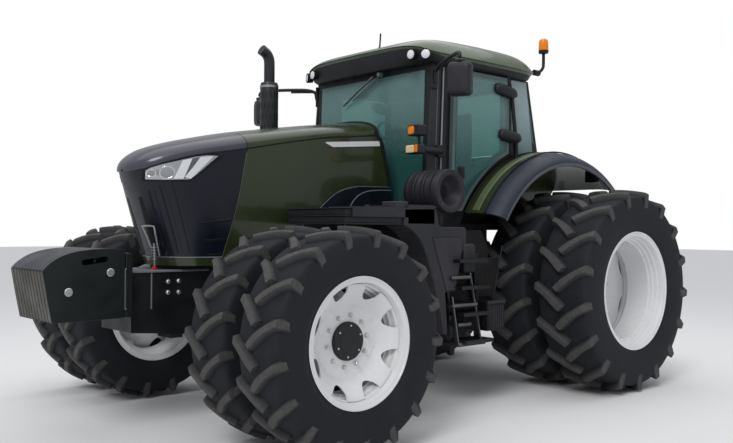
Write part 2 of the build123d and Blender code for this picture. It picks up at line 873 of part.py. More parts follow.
door = door_slab(0, 0, wall_x + part_gap, wall_x + part_gap + door_t)
door -= door_slab(62, 62, wall_x - 50, wall_x + 100)
hinge_x = cab_half_w + 16
for hinge_z in (2490, 2920):
    door += block(
        cab_half_w - 20, hinge_x, door_arc_rear - 60, door_hinge_y, hinge_z - 22, hinge_z + 22
    )
    door += Pos(hinge_x, door_hinge_y, hinge_z) * Cylinder(20, 44)
door_glass = door_slab(40, 40, wall_x + part_gap + door_t, wall_x + part_gap + door_t + 6)
door_glass -= block(
    wall_x, wall_x + 200, door_arc_rear - 70, door_hinge_y + 50, 2450, 2530
) + block(wall_x, wall_x + 200, door_arc_rear - 70, door_hinge_y + 50, 2880, 2960)
save("door_left", door)
save("door_right", other_side(door))
save("door_glass_left", door_glass)
save("door_glass_right", other_side(door_glass))

windscreen = block(
    -sill_w - 25, sill_w + 25, cab_front_y - 8, cab_front_y - 0.5, 1735, cab_top_z - 50
)
lean = degrees(atan2(45, cab_top_z - cab_floor_z + 60))
windscreen = windscreen.rotate(Axis((0, cab_front_y, cab_floor_z - 60), (1, 0, 0)), -lean)
quarter_glass = side_slab(
    [
        (door_hinge_y + 48, 2428),
        (door_hinge_y + 48, cab_top_z - 52),
        (cab_rear_y - 196, cab_top_z - 52),
        (cab_rear_y - 70, 2428),
    ],
    wall_x,
    wall_x + 6,
)
rear_lean = degrees(atan2(160, cab_top_z - 2340))
rear_glass = block(-sill_w - 25, sill_w + 25, cab_rear_y + 0.5, cab_rear_y + 7, 2345, 3020)
rear_glass = rear_glass.rotate(Axis((0, cab_rear_y, 2340), (1, 0, 0)), rear_lean)
save("cab_glass", windscreen, rear_glass, quarter_glass, other_side(quarter_glass))


def roof_ring(z, half_w, front, rear, corner):
    """Rounded rectangle of the roof at height z."""
    centre = Pos(0, (front + rear) / 2, z)
    return centre * RectangleRounded(2 * half_w, rear - front, corner)


roof_front = cab_front_y - roof_front_over
roof_rear = cab_rear_y - 160 + roof_rear_over
roof = loft(
    [
        roof_ring(cab_top_z + part_gap, roof_half_w - 60, roof_front + 70, roof_rear - 60, 140),
        roof_ring(cab_top_z + roof_height * 0.32, roof_half_w, roof_front, roof_rear, 180),
        roof_ring(cab_top_z + roof_height * 0.68, roof_half_w - 40, roof_front + 60, roof_rear - 30, 190),
        roof_ring(cab_top_z + roof_height * 0.9, roof_half_w - 190, roof_front + 230, roof_rear - 130, 200),
        roof_ring(roof_top_z, roof_half_w - 430, roof_front + 520, roof_rear - 380, 200),
    ],
    ruled=True,
)
roof_lamps = []
for side in (1, -1):
    for lamp_x, lamp_back in ((710, 0), (850, 40)):
        lamp_y = roof_front + lamp_back - roof_lamp_stand
        start = (side * lamp_x, lamp_y, cab_top_z + roof_height * 0.27)
        end = (side * lamp_x, lamp_y + 90, cab_top_z + roof_height * 0.27)
        roof_lamps.append(rod(start, end, roof_lamp_r))
        roof -= rod(start, (end[0], end[1] + part_gap, end[2]), roof_lamp_r + part_gap)
roof += rod((0, antenna_y, roof_top_z - 80), (0, antenna_y + 20, antenna_top_z), antenna_r)
mast_z = cab_top_z + roof_height * 0.32
beacon_y = roof_rear + beacon_overhang
beacon_mast = bar(
    [
        (beacon_x, roof_rear, mast_z),
        (beacon_x, beacon_y - 20, mast_z + 20),
        (beacon_x, beacon_y, beacon_low_z + 1),
    ],
    mast_r,
    40,
)
socket_y = roof_rear - socket_depth
mast_foot_r = 2 * mast_r
roof -= rod((beacon_x, socket_y, mast_z), (beacon_x, roof_rear + 40, mast_z), mast_foot_r)
mast_foot = rod(
    (beacon_x, socket_y + part_gap, mast_z), (beacon_x, roof_rear + 15, mast_z), mast_foot_r - part_gap
)
beacon = Pos(beacon_x, beacon_y, (beacon_low_z + beacon_high_z) / 2) * Cylinder(
    beacon_r, beacon_high_z - beacon_low_z
)
beacon += beacon_mast + mast_foot
save("roof_lamps", *roof_lamps)
save("beacon", beacon)
save("roof", roof)

# ---------------------------------------------------------------- cab inside
seat_y = cab_front_y + 930
seat = block(-250, 250, seat_y - 230, seat_y + 230, 2020, 2140)
seat_back = block(-240, 240, seat_y + 265, seat_y + 375, 2141, 2760)
seat_box = block(-190, 190, seat_y - 180, seat_y + 230, cab_floor_z + part_gap, 2020 - part_gap)
save("seat_cushion", seat)
save("seat_back", seat_back)
seat_box += block(-150, 150, seat_y + 170, seat_y + 265 - part_gap, 1850, 2000)
seat_box += block(-150, 150, seat_y + 235, seat_y + 265 - part_gap, 1900, 2300)
column_y = cab_front_y + 330
column = block(-130, 130, column_y - 190, column_y - 40, cab_floor_z + part_gap, 2330)
wheel_centre = (0, column_y + 60, 2480)
wheel_plane = Plane(origin=wheel_centre, z_dir=(0, 170, 230))
hub_end = wheel_plane.from_local_coords((0, 0, 18))
column += rod((0, column_y - 110, 2250), tuple(hub_end), 35)
column += wheel_plane * Torus(200, 16)
for turn in (90, 210, 330):
    spoke = (200 * cos(radians(turn)), 200 * sin(radians(turn)), 0)
    column += rod(wheel_centre, tuple(wheel_plane.from_local_coords(spoke)), 11)
save("steering_column", column)
console = block(-480, -330, seat_y - 150, seat_y + 300, cab_floor_z + part_gap, 2230)
save("seat_base", seat_box + console)

# ---------------------------------------------------------------- left and right side gear
tank_in = 480
tank_out = 1100
tank_front_y = front_axle_y + 1120
tank_top_z = 1590
tank_profile = [
    (tank_front_y, 1545),
    (tank_front_y + 140, 1545),
    (tank_front_y + 250, 1290),
    (tank_front_y + 380, 900),
    (front_axle_y + 2250, 900),
    (front_axle_y + 2250, 1380),
    (front_axle_y + 2150, cab_floor_z - 60 - part_gap),
    (front_axle_y + 1560, cab_floor_z - 60 - part_gap),
    (front_axle_y + 1540, tank_top_z),
    (tank_front_y, tank_top_z),
]
tank = side_slab(tank_profile, tank_in, tank_out)
save("side_tanks", tank, other_side(tank))

platform_rear_y = canister_y - canister_ring - 10
platform = block(950, 1240, front_axle_y + 480, platform_rear_y, 1640, 1720)
platform += block(760, 1240, front_axle_y + 1080, platform_rear_y, tank_top_z + part_gap, 1745)
save("platform_left", platform)

ladder_y0 = front_axle_y + 1620
ladder_y1 = front_axle_y + 1990
ladder = None
for index, step_z in enumerate((560, 800, 1030, 1260)):
    lean_y = (1260 - step_z) * 0.12
    tread = block(
        tank_out + part_gap, tank_out + 220, ladder_y0 + lean_y, ladder_y1 + lean_y, step_z,
        step_z + 30,
    )
    ladder = tread if ladder is None else ladder + tread
for edge in (ladder_y0, ladder_y1):
    rail = side_slab(
        [
            (edge - 15, 1290),
            (edge - 15 + 84, 560),
            (edge + 15 + 84, 560),
            (edge + 15, 1290),
        ],
        tank_out + part_gap,
        tank_out + 60,
    )
    ladder += rail
save("steps", ladder, other_side(ladder))
bin_box = block(tank_out - 150, tank_out + 130, front_axle_y + 2090, front_axle_y + 2330, 640, 900 - part_gap)
save("tool_bin", bin_box)

rib_rows = []
for index in range(canister_ribs):
    rib_x = 70 + index * canister_rib_pitch
    rib_rows += [(rib_x, canister_r), (rib_x + 12, canister_ring)]
    rib_rows += [(rib_x + 26, canister_ring), (rib_x + 38, canister_r)]
canister = lathe_x(
    [(0, 0), (0, canister_r - 30), (25, canister_r)]
    + rib_rows
    + [
        (canister_l - 30, canister_r),
        (canister_l, canister_r - 8),
        (canister_l, canister_r - 45),
        (canister_l - 70, 60),
        (canister_l - 70, 0),
    ]
)
canister = Pos(canister_in_x, canister_y, canister_z) * canister
canister += block(
    canister_in_x + 50, canister_in_x + 330, canister_y - 140, canister_y - 60, tank_top_z + part_gap,
    canister_z - 110,
)
save("air_canister", canister)

exhaust_x = -620
exhaust_y = front_axle_y + 1020
exhaust = rod((exhaust_x, exhaust_y, 1650), (exhaust_x, exhaust_y, 2960), 88)
exhaust += rod((exhaust_x, exhaust_y, 2900), (exhaust_x, exhaust_y, 3130), 55)
exhaust += bar(
    [
        (exhaust_x, exhaust_y, 3100),
        (exhaust_x, exhaust_y, 3200),
        (exhaust_x, exhaust_y - 100, 3270),
    ],
    54,
    55,
)
exhaust += block(exhaust_x - 40, -400, exhaust_y - 30, exhaust_y + 30, 1700, 1740) - hull(
    -part_gap, 1240
)
save("exhaust_stack", exhaust)

mirror_x = 1440
mirror_y = front_axle_y + 1500
mirror_z = 2820
mirror_arm = bar(
    [
        (wall_x + 0.3, cab_front_y + 90, 2960),
        (wall_x + 70, cab_front_y + 90, 2960),
        (mirror_x, mirror_y, 3050),
        (mirror_x, mirror_y, mirror_z + 150),
    ],
    15,
    40,
)
mirror_face = Plane.XZ * Pos(mirror_x, mirror_z) * RectangleRounded(mirror_w, mirror_h, 45)
mirror_head = Pos(0, mirror_y + mirror_t / 2, 0) * extrude(mirror_face, amount=mirror_t)
mirror_unit = mirror_arm + mirror_head
save("mirrors", mirror_unit, other_side(mirror_unit))

lamp_x = 970
lamp_foot_y = cab_front_y + 135
lamp_foot_z = 2255
marker = block(
    wall_x + part_gap, wall_x + 52, lamp_foot_y - 40, lamp_foot_y + 40, lamp_foot_z - 45,
    lamp_foot_z + 45,
)
marker += rod(
    (wall_x + 46, lamp_foot_y, lamp_foot_z), (lamp_x, front_axle_y + 1480, lamp_foot_z - 20), lamp_arm_r
)
marker += block(
    lamp_x - 75, lamp_x + 75, front_axle_y + 1375, front_axle_y + 1460, 2193, 2277
)
marker += rod((lamp_x, front_axle_y + 1475, 2240), (lamp_x, front_axle_y + 1475, 2360), 14)
marker += block(
    lamp_x - 70, lamp_x + 70, front_axle_y + 1395, front_axle_y + 1510, 2352, 2448
)
marker += block(
    lamp_x - 30, lamp_x + 30, front_axle_y + 1455, front_axle_y + 1490, 2210, 2262
)
save("marker_lamps", marker, other_side(marker))

# ---------------------------------------------------------------- rear linkage
link_y = rear_axle_y + link_pivot_reach
link_end_y = rear_y - link_eye_r
link_slope = (link_rear_x - link_front_x) / (link_end_y - link_y)
link_bore_clear = link_pin_r + 4  # the flat bar stops this far short of the eye's middle
link_plate_x = link_rear_x - link_slope * link_bore_clear
rod_x = link_front_x + link_slope * link_arm
lift_z = link_pivot_z + lift_height
link_pin = 14

hitch_half_w = link_front_x - 34
hitch = block(-hitch_half_w, hitch_half_w, gearbox_rear_y - 60, link_y + 45, 560, 680)
pin_reach = link_front_x + 40
hitch += drum(-pin_reach, pin_reach, link_y, link_pivot_z, link_pin)
gearbox += hitch

links = None
for sign in (1, -1):
    link = plan_slab(
        [
            (sign * (link_front_x - 25), link_y),
            (sign * (link_front_x + 25), link_y),
            (sign * (link_plate_x + 20), link_end_y - link_bore_clear),
            (sign * (link_plate_x - 20), link_end_y - link_bore_clear),
        ],
        link_pivot_z - 35,
        link_pivot_z + 35,
    )
    for x_mid, y_mid, width in (
        (link_front_x, link_y, 50),
        (link_rear_x, link_end_y, link_eye_w),
    ):
        x_a = sign * x_mid - width / 2
        link += drum(x_a, x_a + width, y_mid, link_pivot_z, link_eye_r)
    x_a = sign * link_front_x - 60
    link -= drum(x_a, x_a + 120, link_y, link_pivot_z, link_pin + pin_fit)
    x_a = sign * link_rear_x - 60
    link -= drum(x_a, x_a + 120, link_end_y, link_pivot_z, link_pin_r)
    x_a = sign * rod_x - 60
    link += drum(x_a, x_a + 120, link_y + link_arm, link_pivot_z, link_pin)
    links = link if links is None else links + link
save("lower_links", links)

arms = drum(-rod_x + 45, rod_x - 45, link_y, lift_z, 42)
for sign in (1, -1):
    x_a = sign * rod_x - sign * 62
    x_b = sign * rod_x - sign * 30
    arm_plate = side_slab(
        [
            (link_y - 55, lift_z - 50),
            (link_y - 55, lift_z + 50),
            (link_y + link_arm, lift_z + 32),
            (link_y + link_arm + 32, lift_z),
            (link_y + link_arm, lift_z - 32),
        ],
        min(x_a, x_b),
        max(x_a, x_b),
    )
    arms += arm_plate
    x_c = sign * rod_x + sign * 28
    arms += drum(min(x_a, x_c), max(x_a, x_c), link_y + link_arm, lift_z, link_pin)
save("lift_arms", arms)

lift_rods = []
for sign in (1, -1):
    x_mid = sign * rod_x
    pin_y = link_y + link_arm
    lift_rod = rod((x_mid, pin_y, link_pivot_z + 60), (x_mid, pin_y, lift_z - 20), 20)
    lift_rod += rod((x_mid, pin_y, link_pivot_z + 200), (x_mid, pin_y, lift_z - 90), 34)
    for x_low, x_high in ((x_mid - 55, x_mid - 33), (x_mid + 33, x_mid + 55)):
        lift_rod += drum(x_low, x_high, pin_y, link_pivot_z, 30)
        lift_rod += block(
            x_low, x_high, pin_y - 26, pin_y + 26, link_pivot_z, link_pivot_z + 85
        )
        lift_rod -= drum(x_low - 5, x_high + 5, pin_y, link_pivot_z, link_pin + pin_fit)
    lift_rod += block(
        x_mid - 55, x_mid + 55, pin_y - 26, pin_y + 26, link_pivot_z + 62, link_pivot_z + 90
    )
    lift_rod += drum(x_mid - 24, x_mid + 24, pin_y, lift_z, 32)
    lift_rod -= drum(x_mid - 60, x_mid + 60, pin_y, lift_z, link_pin + pin_fit)
    lift_rods.append(lift_rod)
save("lift_rods", *lift_rods)

rock_r = 42
housing = block(-235, 235, rear_axle_y - 60, link_y + 75, lift_seat_z - 60, lift_z + 75)
gearbox += housing - drum(-240, 240, link_y, lift_z, rock_r + pin_fit)
save("transmission", gearbox)

drawbar_end = link_y + 430
drawbar = block(-45, 45, rear_axle_y - 300, drawbar_end, 470, 510)
drawbar -= Pos(0, drawbar_end - 50, 490) * Cylinder(16.5, 80)
drawbar += block(-130, 130, rear_axle_y - 200, rear_axle_y + 60, 505, 560 - part_gap)
drawbar += block(-45, 45, rear_axle_y - 100, rear_axle_y + 40, 500, 520)
save("drawbar", drawbar)

pto = rod((0, gearbox_rear_y + part_gap, 800), (0, gearbox_rear_y + 160, 800), 17.5)
save("pto_shaft", pto)
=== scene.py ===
"""Looks of a row-crop farm tractor with twin wheels at every corner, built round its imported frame.

Metres, in the frame's own axes: +X is the tractor's left, +Y the rear, +Z up. Every shape is worked
out as whole numpy arrays, either on a grid of two parameters or as a profile carried along a path.
"""

import json
from math import asin, cos, pi, radians, sin, tau

import bmesh
import bpy
import numpy as np
from mathutils import Matrix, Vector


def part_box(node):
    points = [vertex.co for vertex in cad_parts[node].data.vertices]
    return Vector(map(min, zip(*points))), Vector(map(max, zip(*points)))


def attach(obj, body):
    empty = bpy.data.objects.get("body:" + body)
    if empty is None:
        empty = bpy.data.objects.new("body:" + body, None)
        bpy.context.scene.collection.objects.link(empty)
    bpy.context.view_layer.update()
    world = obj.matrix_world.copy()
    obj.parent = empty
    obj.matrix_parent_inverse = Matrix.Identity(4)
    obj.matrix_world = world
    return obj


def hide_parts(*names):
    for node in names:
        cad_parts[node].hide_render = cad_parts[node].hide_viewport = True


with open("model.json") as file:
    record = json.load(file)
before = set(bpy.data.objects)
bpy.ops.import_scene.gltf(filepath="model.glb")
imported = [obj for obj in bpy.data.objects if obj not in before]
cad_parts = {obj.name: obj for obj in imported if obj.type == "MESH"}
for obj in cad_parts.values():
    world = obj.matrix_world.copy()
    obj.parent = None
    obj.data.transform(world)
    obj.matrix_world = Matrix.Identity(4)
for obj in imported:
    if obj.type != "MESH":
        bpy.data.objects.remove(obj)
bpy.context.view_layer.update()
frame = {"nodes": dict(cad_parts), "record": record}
cad = frame["nodes"]


# ---------------------------------------------------------------- surfaces as arrays
def grid_quads(rows, cols, close_rows=False, close_cols=False):
    """Quads between neighbours of a rows by cols grid; a closed direction joins its last and first lines."""
    i = np.arange(rows if close_rows else rows - 1)
    j = np.arange(cols if close_cols else cols - 1)
    a, b = np.meshgrid(i, j, indexing="ij")
    c, d = (a + 1) % rows, (b + 1) % cols
    return np.stack([a * cols + b, c * cols + b, c * cols + d, a * cols + d], -1).reshape(-1, 4)


def grid_shape(points, close_rows=False, close_cols=False):
    """A (rows, cols, 3) array of points as one shape: its points in a list, and its quads."""
    rows, cols = points.shape[:2]
    return points.reshape(-1, 3), grid_quads(rows, cols, close_rows, close_cols).tolist()


def capped(rings):
    """A stack of closed rings as one shape, with one more face over the first ring and one over the last."""
    rings = np.asarray(rings, float)
    points, faces = grid_shape(rings, False, True)
    n, last = rings.shape[1], len(points)
    return points, faces + [list(range(n))[::-1], list(range(last - n, last))]


def joined(*shapes):
    """Several shapes as one: points stacked, and each shape's faces moved on by the points before it."""
    points, faces, start = [], [], 0
    for p, f in shapes:
        points.append(p)
        faces += [[k + start for k in face] for face in f]
        start += len(p)
    return np.concatenate(points), faces


def mirrored(shape):
    """The shape on the tractor's other side: x changes sign and each face runs the other way round."""
    points, faces = shape
    return points * (-1, 1, 1), [face[::-1] for face in faces]


def both(shape):
    """The shape and its mirror image across the tractor's middle plane."""
    return joined(shape, mirrored(shape))


def copies(shape, offsets):
    """The shape repeated at each (x, y, z) offset, as one array sum."""
    points, faces = shape
    offsets = np.asarray(offsets, float).reshape(-1, 3)
    moved = points[None] + offsets[:, None]
    count = len(points)
    return moved.reshape(-1, 3), [[k + n * count for k in f] for n in range(len(offsets)) for f in faces]


def round_x(shape, centre, count, start=0.0):
    """The shape repeated count times round an axis along X through centre = (y, z)."""
    points, faces = shape
    turn = start + np.arange(count) * tau / count
    y, z = points[:, 1] - centre[0], points[:, 2] - centre[1]
    moved = np.empty((count, len(points), 3))
    moved[..., 0] = points[:, 0]
    moved[..., 1] = centre[0] + np.cos(turn)[:, None] * y - np.sin(turn)[:, None] * z
    moved[..., 2] = centre[1] + np.sin(turn)[:, None] * y + np.cos(turn)[:, None] * z
    size = len(points)
    return moved.reshape(-1, 3), [[k + n * size for k in f] for n in range(count) for f in faces]


def turned_upright(shape, turn, centre=(0, 0, 0)):
    """The shape turned by an angle about the upright line through centre."""
    points, faces = shape
    spin = np.array([[cos(turn), -sin(turn), 0], [sin(turn), cos(turn), 0], [0, 0, 1]])
    return (points - centre) @ spin.T + centre, faces


def corner_cut(points, rounds=3, closed=False):
    """Corner cutting: each leg keeps the points a quarter and three quarters along it, again and again."""
    p = np.asarray(points, float)
    for _ in range(rounds):
        q = np.roll(p, -1, 0) if closed else p[1:]
        head = p if closed else p[:-1]
        cut = np.stack([head * 0.75 + q * 0.25, head * 0.25 + q * 0.75], 1).reshape(-1, p.shape[1])
        p = cut if closed else np.concatenate([p[:1], cut, p[-1:]])
    return p


def turned(profile, centre, axis=0, steps=96, closed=True):
    """A profile of (along, radius) points carried round an axis: (a, r cos t, r sin t)."""
    a, r = np.asarray(profile, float).T
    t = np.arange(steps) * tau / steps
    points = np.empty((steps, len(a), 3))
    u, v = [k for k in range(3) if k != axis]
    points[..., axis] = a
    points[..., u] = np.cos(t)[:, None] * r
    points[..., v] = np.sin(t)[:, None] * r
    return grid_shape(points + np.asarray(centre, float), True, closed)


def inset_outline(outline, distance):
    """A closed 2D outline moved inwards: each corner goes along its mitre, the sum of both legs' normals."""
    p = np.asarray(outline, float)
    ahead = np.roll(p, -1, 0) - p
    back = p - np.roll(p, 1, 0)
    ahead /= np.linalg.norm(ahead, axis=1)[:, None]
    back /= np.linalg.norm(back, axis=1)[:, None]
    area = np.sum(p[:, 0] * np.roll(p[:, 1], -1) - p[:, 1] * np.roll(p[:, 0], -1))
    sign = 1 if area > 0 else -1
    n_ahead = np.stack([-ahead[:, 1], ahead[:, 0]], 1) * sign
    n_back = np.stack([-back[:, 1], back[:, 0]], 1) * sign
    mitre = n_ahead + n_back
    mitre /= np.maximum(np.sum(mitre * n_ahead, axis=1), 0.35)[:, None]
    return p + mitre * distance


def slab(outline, low, high, axis=0, edge=0.004):
    """A closed outline carried along an axis from low to high, its rims drawn in by edge at both ends."""
    p = np.asarray(outline, float)
    small = inset_outline(p, edge)
    u, v = [k for k in range(3) if k != axis]
    rings = np.zeros((4, len(p), 3))
    levels = (low, low + edge, high - edge, high)
    for k, (level, ring) in enumerate(zip(levels, (small, p, p, small))):
        rings[k, :, axis] = level
        rings[k, :, u] = ring[:, 0]
        rings[k, :, v] = ring[:, 1]
    points, faces = grid_shape(rings, False, True)
    n = len(p)
    faces += [list(range(n)), list(range(4 * n - 1, 3 * n - 1, -1))]
    return points, faces


def block(low, high, edge=0.006):
    """A box between two corners whose every rim is chamfered by edge."""
    (x0, y0, z0), (x1, y1, z1) = low, high
    c = edge
    outline = [
        (x0 + c, y0), (x1 - c, y0), (x1, y0 + c), (x1, y1 - c), (x1 - c, y1), (x0 + c, y1), (x0, y1 - c),
        (x0, y0 + c),
    ]
    return slab(outline, z0, z1, 2, edge)


def rounded_box(low, high, radius, axis=2, steps=6):
    """A box with corners rounded by quarter circles seen along axis, and chamfered rims."""
    keep = [k for k in range(3) if k != axis]
    (u0, v0), (u1, v1) = [[p[k] for k in keep] for p in (low, high)]
    t = np.linspace(0, pi / 2, steps)
    arc = np.stack([np.cos(t), np.sin(t)], 1) * radius
    turn = lambda k: arc @ np.array([[cos(k), sin(k)], [-sin(k), cos(k)]])
    outline = np.concatenate([
        turn(0) + (u1 - radius, v1 - radius), turn(pi / 2) + (u0 + radius, v1 - radius),
        turn(pi) + (u0 + radius, v0 + radius), turn(3 * pi / 2) + (u1 - radius, v0 + radius),
    ])
    return slab(outline, low[axis], high[axis], axis, min(radius * 0.4, 0.012))


def swept(path, section):
    """A 2D section carried along a path: each point's frame is its tangent and two normals to it."""
    path = np.asarray(path, float)
    tangent = np.gradient(path, axis=0)
    tangent /= np.linalg.norm(tangent, axis=1)[:, None]
    spread = path.max(0) - path.min(0)
    guide = np.eye(3)[int(np.argmin(spread))]
    side = np.cross(tangent, guide)
    side /= np.maximum(np.linalg.norm(side, axis=1), 1e-9)[:, None]
    up = np.cross(side, tangent)
    section = np.asarray(section, float)
    rings = path[:, None] + side[:, None] * section[None, :, :1] + up[:, None] * section[None, :, 1:]
    return capped(rings)


def ring_section(radius, sides=14):
    """Points of a circle, as a section to carry along a path."""
    t = np.arange(sides) * tau / sides
    return np.stack([np.cos(t), np.sin(t)], 1) * radius


def pipe(points, radius, rounds=3, sides=14):
    """A round bar along a path whose corners are cut smooth."""
    return swept(corner_cut(points, rounds), ring_section(radius, sides))


def hex_bolt(centre, direction, across, height):
    """A hexagon head standing on a washer, carried along direction from centre."""
    direction = np.asarray(direction, float) / np.linalg.norm(direction)
    guide = (0, 0, 1) if abs(direction[2]) < 0.8 else (1, 0, 0)
    side = np.cross(direction, guide)
    side /= np.linalg.norm(side)
    up = np.cross(side, direction)
    levels = np.array([0, 0.25, 0.25, 0.85, 1.0]) * height
    radii = np.array([0.72, 0.72, 0.56, 0.56, 0.46]) * across
    t = np.arange(6) * tau / 6
    rings = (
        np.asarray(centre, float) + direction * levels[:, None, None]
        + (side * np.cos(t)[:, None] + up * np.sin(t)[:, None]) * radii[:, None, None]
    )
    return capped(rings)


def piece(name, shape, material, body, smooth=32, weights=None, stands_for=()):
    """One object: doubles merged, faces turned outwards, smooth but for edges sharper than smooth degrees."""
    points, faces = shape
    mesh = bpy.data.meshes.new(name)
    mesh.from_pydata(points.tolist(), [], faces)
    if weights is not None:
        layer = mesh.attributes.new("worn", "FLOAT", "POINT")
        layer.data.foreach_set("value", np.asarray(weights, np.float32))
    work = bmesh.new()
    work.from_mesh(mesh)
    bmesh.ops.remove_doubles(work, verts=work.verts, dist=2e-5)
    bmesh.ops.dissolve_degenerate(work, edges=work.edges, dist=1e-6)
    bmesh.ops.recalc_face_normals(work, faces=work.faces)
    work.to_mesh(mesh)
    work.free()
    mesh.polygons.foreach_set("use_smooth", np.ones(len(mesh.polygons), bool))
    mesh.set_sharp_from_angle(angle=radians(smooth))
    made = bpy.data.objects.new(name, mesh)
    bpy.context.scene.collection.objects.link(made)
    mesh.materials.append(material)
    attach(made, body)
    if stands_for:
        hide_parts(*stands_for)
    return made


# ---------------------------------------------------------------- finishes
def finish(name, colour, rough, metal=0.0, coat=0.0, bright=None):
    """A new material with its shader set; returns it with its node tree and its shader."""
    made = bpy.data.materials.new(name)
    made.use_nodes = True
    tree = made.node_tree
    shader = tree.nodes["Principled BSDF"]
    shader.inputs["Base Color"].default_value = (*colour, 1)
    shader.inputs["Roughness"].default_value = rough
    shader.inputs["Metallic"].default_value = metal
    shader.inputs["Coat Weight"].default_value = coat
    shader.inputs["Coat Roughness"].default_value = 0.06
    if bright is not None:
        shader.inputs["Specular IOR Level"].default_value = bright
    return made, tree, shader


def noise(tree, scale, detail=4.0, stretch=(1, 1, 1), rough=0.55):
    """Noise on the piece's own object coordinates, stretched along the axes."""
    spot = tree.nodes.new("ShaderNodeTexCoord")
    turn = tree.nodes.new("ShaderNodeMapping")
    turn.inputs["Scale"].default_value = stretch
    field = tree.nodes.new("ShaderNodeTexNoise")
    field.inputs["Scale"].default_value = scale
    field.inputs["Detail"].default_value = detail
    field.inputs["Roughness"].default_value = rough
    tree.links.new(spot.outputs["Object"], turn.inputs["Vector"])
    tree.links.new(turn.outputs["Vector"], field.inputs["Vector"])
    return field.outputs["Fac"]


def spread(tree, value, low, high, to_low=0.0, to_high=1.0):
    """A value stretched from the range low..high to the range to_low..to_high."""
    node = tree.nodes.new("ShaderNodeMapRange")
    for key, number in (("From Min", low), ("From Max", high), ("To Min", to_low), ("To Max", to_high)):
        node.inputs[key].default_value = number
    tree.links.new(value, node.inputs["Value"])
    return node.outputs["Result"]


def product(tree, a, b):
    """Two values multiplied."""
    node = tree.nodes.new("ShaderNodeMath")
    node.operation = "MULTIPLY"
    tree.links.new(a, node.inputs[0])
    tree.links.new(b, node.inputs[1])
    return node.outputs[0]


def scaled(tree, value, factor):
    """A value times a fixed factor."""
    node = tree.nodes.new("ShaderNodeMath")
    node.operation = "MULTIPLY"
    node.inputs[1].default_value = factor
    tree.links.new(value, node.inputs[0])
    return node.outputs[0]


def blend_colour(tree, share, first, second):
    """A colour between two, by share; either may be a colour or another node's output."""
    node = tree.nodes.new("ShaderNodeMix")
    node.data_type = "RGBA"
    tree.links.new(share, node.inputs["Factor"])
    for socket, value in ((node.inputs[6], first), (node.inputs[7], second)):
        if isinstance(value, tuple):
            socket.default_value = (*value, 1)
        else:
            tree.links.new(value, socket)
    return node.outputs[2]


def rough_by(tree, shader, value, low, high):
    """Roughness from low to high as a value goes from 0 to 1."""
    tree.links.new(spread(tree, value, 0, 1, low, high), shader.inputs["Roughness"])


def bumped(tree, shader, height, strength, distance):
    """A bump on the shader's normal from a height value."""
    node = tree.nodes.new("ShaderNodeBump")
    node.inputs["Strength"].default_value = strength
    node.inputs["Distance"].default_value = distance
    tree.links.new(height, node.inputs["Height"])
    tree.links.new(node.outputs["Normal"], shader.inputs["Normal"])


def height_share(tree, low, high):
    """1 at height low, falling to 0 at height high, so that dust gathers on what is near the ground, and so
    that the glass's painted reflection is darker low down.
    """
    spot = tree.nodes.new("ShaderNodeTexCoord")
    parts = tree.nodes.new("ShaderNodeSeparateXYZ")
    tree.links.new(spot.outputs["Object"], parts.inputs[0])
    return spread(tree, parts.outputs["Z"], low, high, 1.0, 0.0)


def painted(name, colour, shade, rough, coat, dust=0.25, grain=0.0004):
    """Sprayed paint: two near tones in broad clouds, a little orange peel, and dust low down."""
    made, tree, shader = finish(name, colour, rough, 0.0, coat, 0.35)
    clouds = spread(tree, noise(tree, 1.6, 5), 0.35, 0.68)
    tone = blend_colour(tree, clouds, colour, shade)
    specks = spread(tree, noise(tree, 60, 6, rough=0.7), 0.5, 0.8)
    film = product(tree, height_share(tree, 0.5, 2.2), specks)
    dusty = blend_colour(tree, scaled(tree, film, dust), tone, (0.20, 0.18, 0.15))
    tree.links.new(dusty, shader.inputs["Base Color"])
    rough_by(tree, shader, spread(tree, noise(tree, 9, 6), 0.3, 0.75), rough * 0.8, rough * 1.35)
    bumped(tree, shader, noise(tree, 420, 2), 0.12, grain)
    return made


def moulded(name, colour, shade, rough, scale=260, depth=0.0006, dust=0.4):
    """Moulded plastic: fine leathery grain, faded patches, and dust in the lower parts."""
    made, tree, shader = finish(name, colour, rough, bright=0.3)
    clouds = spread(tree, noise(tree, 3.2, 6), 0.36, 0.7)
    tone = blend_colour(tree, clouds, colour, shade)
    specks = spread(tree, noise(tree, 14, 8, rough=0.7), 0.42, 0.8)
    film = product(tree, height_share(tree, 0.2, 2.4), specks)
    dusty = blend_colour(tree, scaled(tree, film, dust), tone, (0.21, 0.19, 0.16))
    tree.links.new(dusty, shader.inputs["Base Color"])
    rough_by(tree, shader, spread(tree, noise(tree, 22, 5), 0.3, 0.7), rough * 0.85, min(rough * 1.2, 1))
    bumped(tree, shader, noise(tree, scale, 3), 0.35, depth)
    return made


def tyre_finish(name):
    """Rubber: near-black carcass, and lug faces scuffed paler and browner where the attribute worn rises."""
    made, tree, shader = finish(name, (0.02, 0.021, 0.024), 0.72, bright=0.25)
    worn = tree.nodes.new("ShaderNodeAttribute")
    worn.attribute_name = "worn"
    patch = spread(tree, noise(tree, 7, 7, rough=0.65), 0.3, 0.72)
    side = blend_colour(tree, patch, (0.0085, 0.0095, 0.0125), (0.020, 0.022, 0.027))
    scuff = spread(tree, noise(tree, 34, 8, rough=0.75), 0.25, 0.75)
    face = blend_colour(tree, scuff, (0.038, 0.039, 0.042), (0.100, 0.097, 0.092))
    tree.links.new(blend_colour(tree, worn.outputs["Fac"], side, face), shader.inputs["Base Color"])
    rough_by(tree, shader, patch, 0.6, 0.86)
    bumped(tree, shader, noise(tree, 170, 5, rough=0.7), 0.3, 0.0012)
    return made


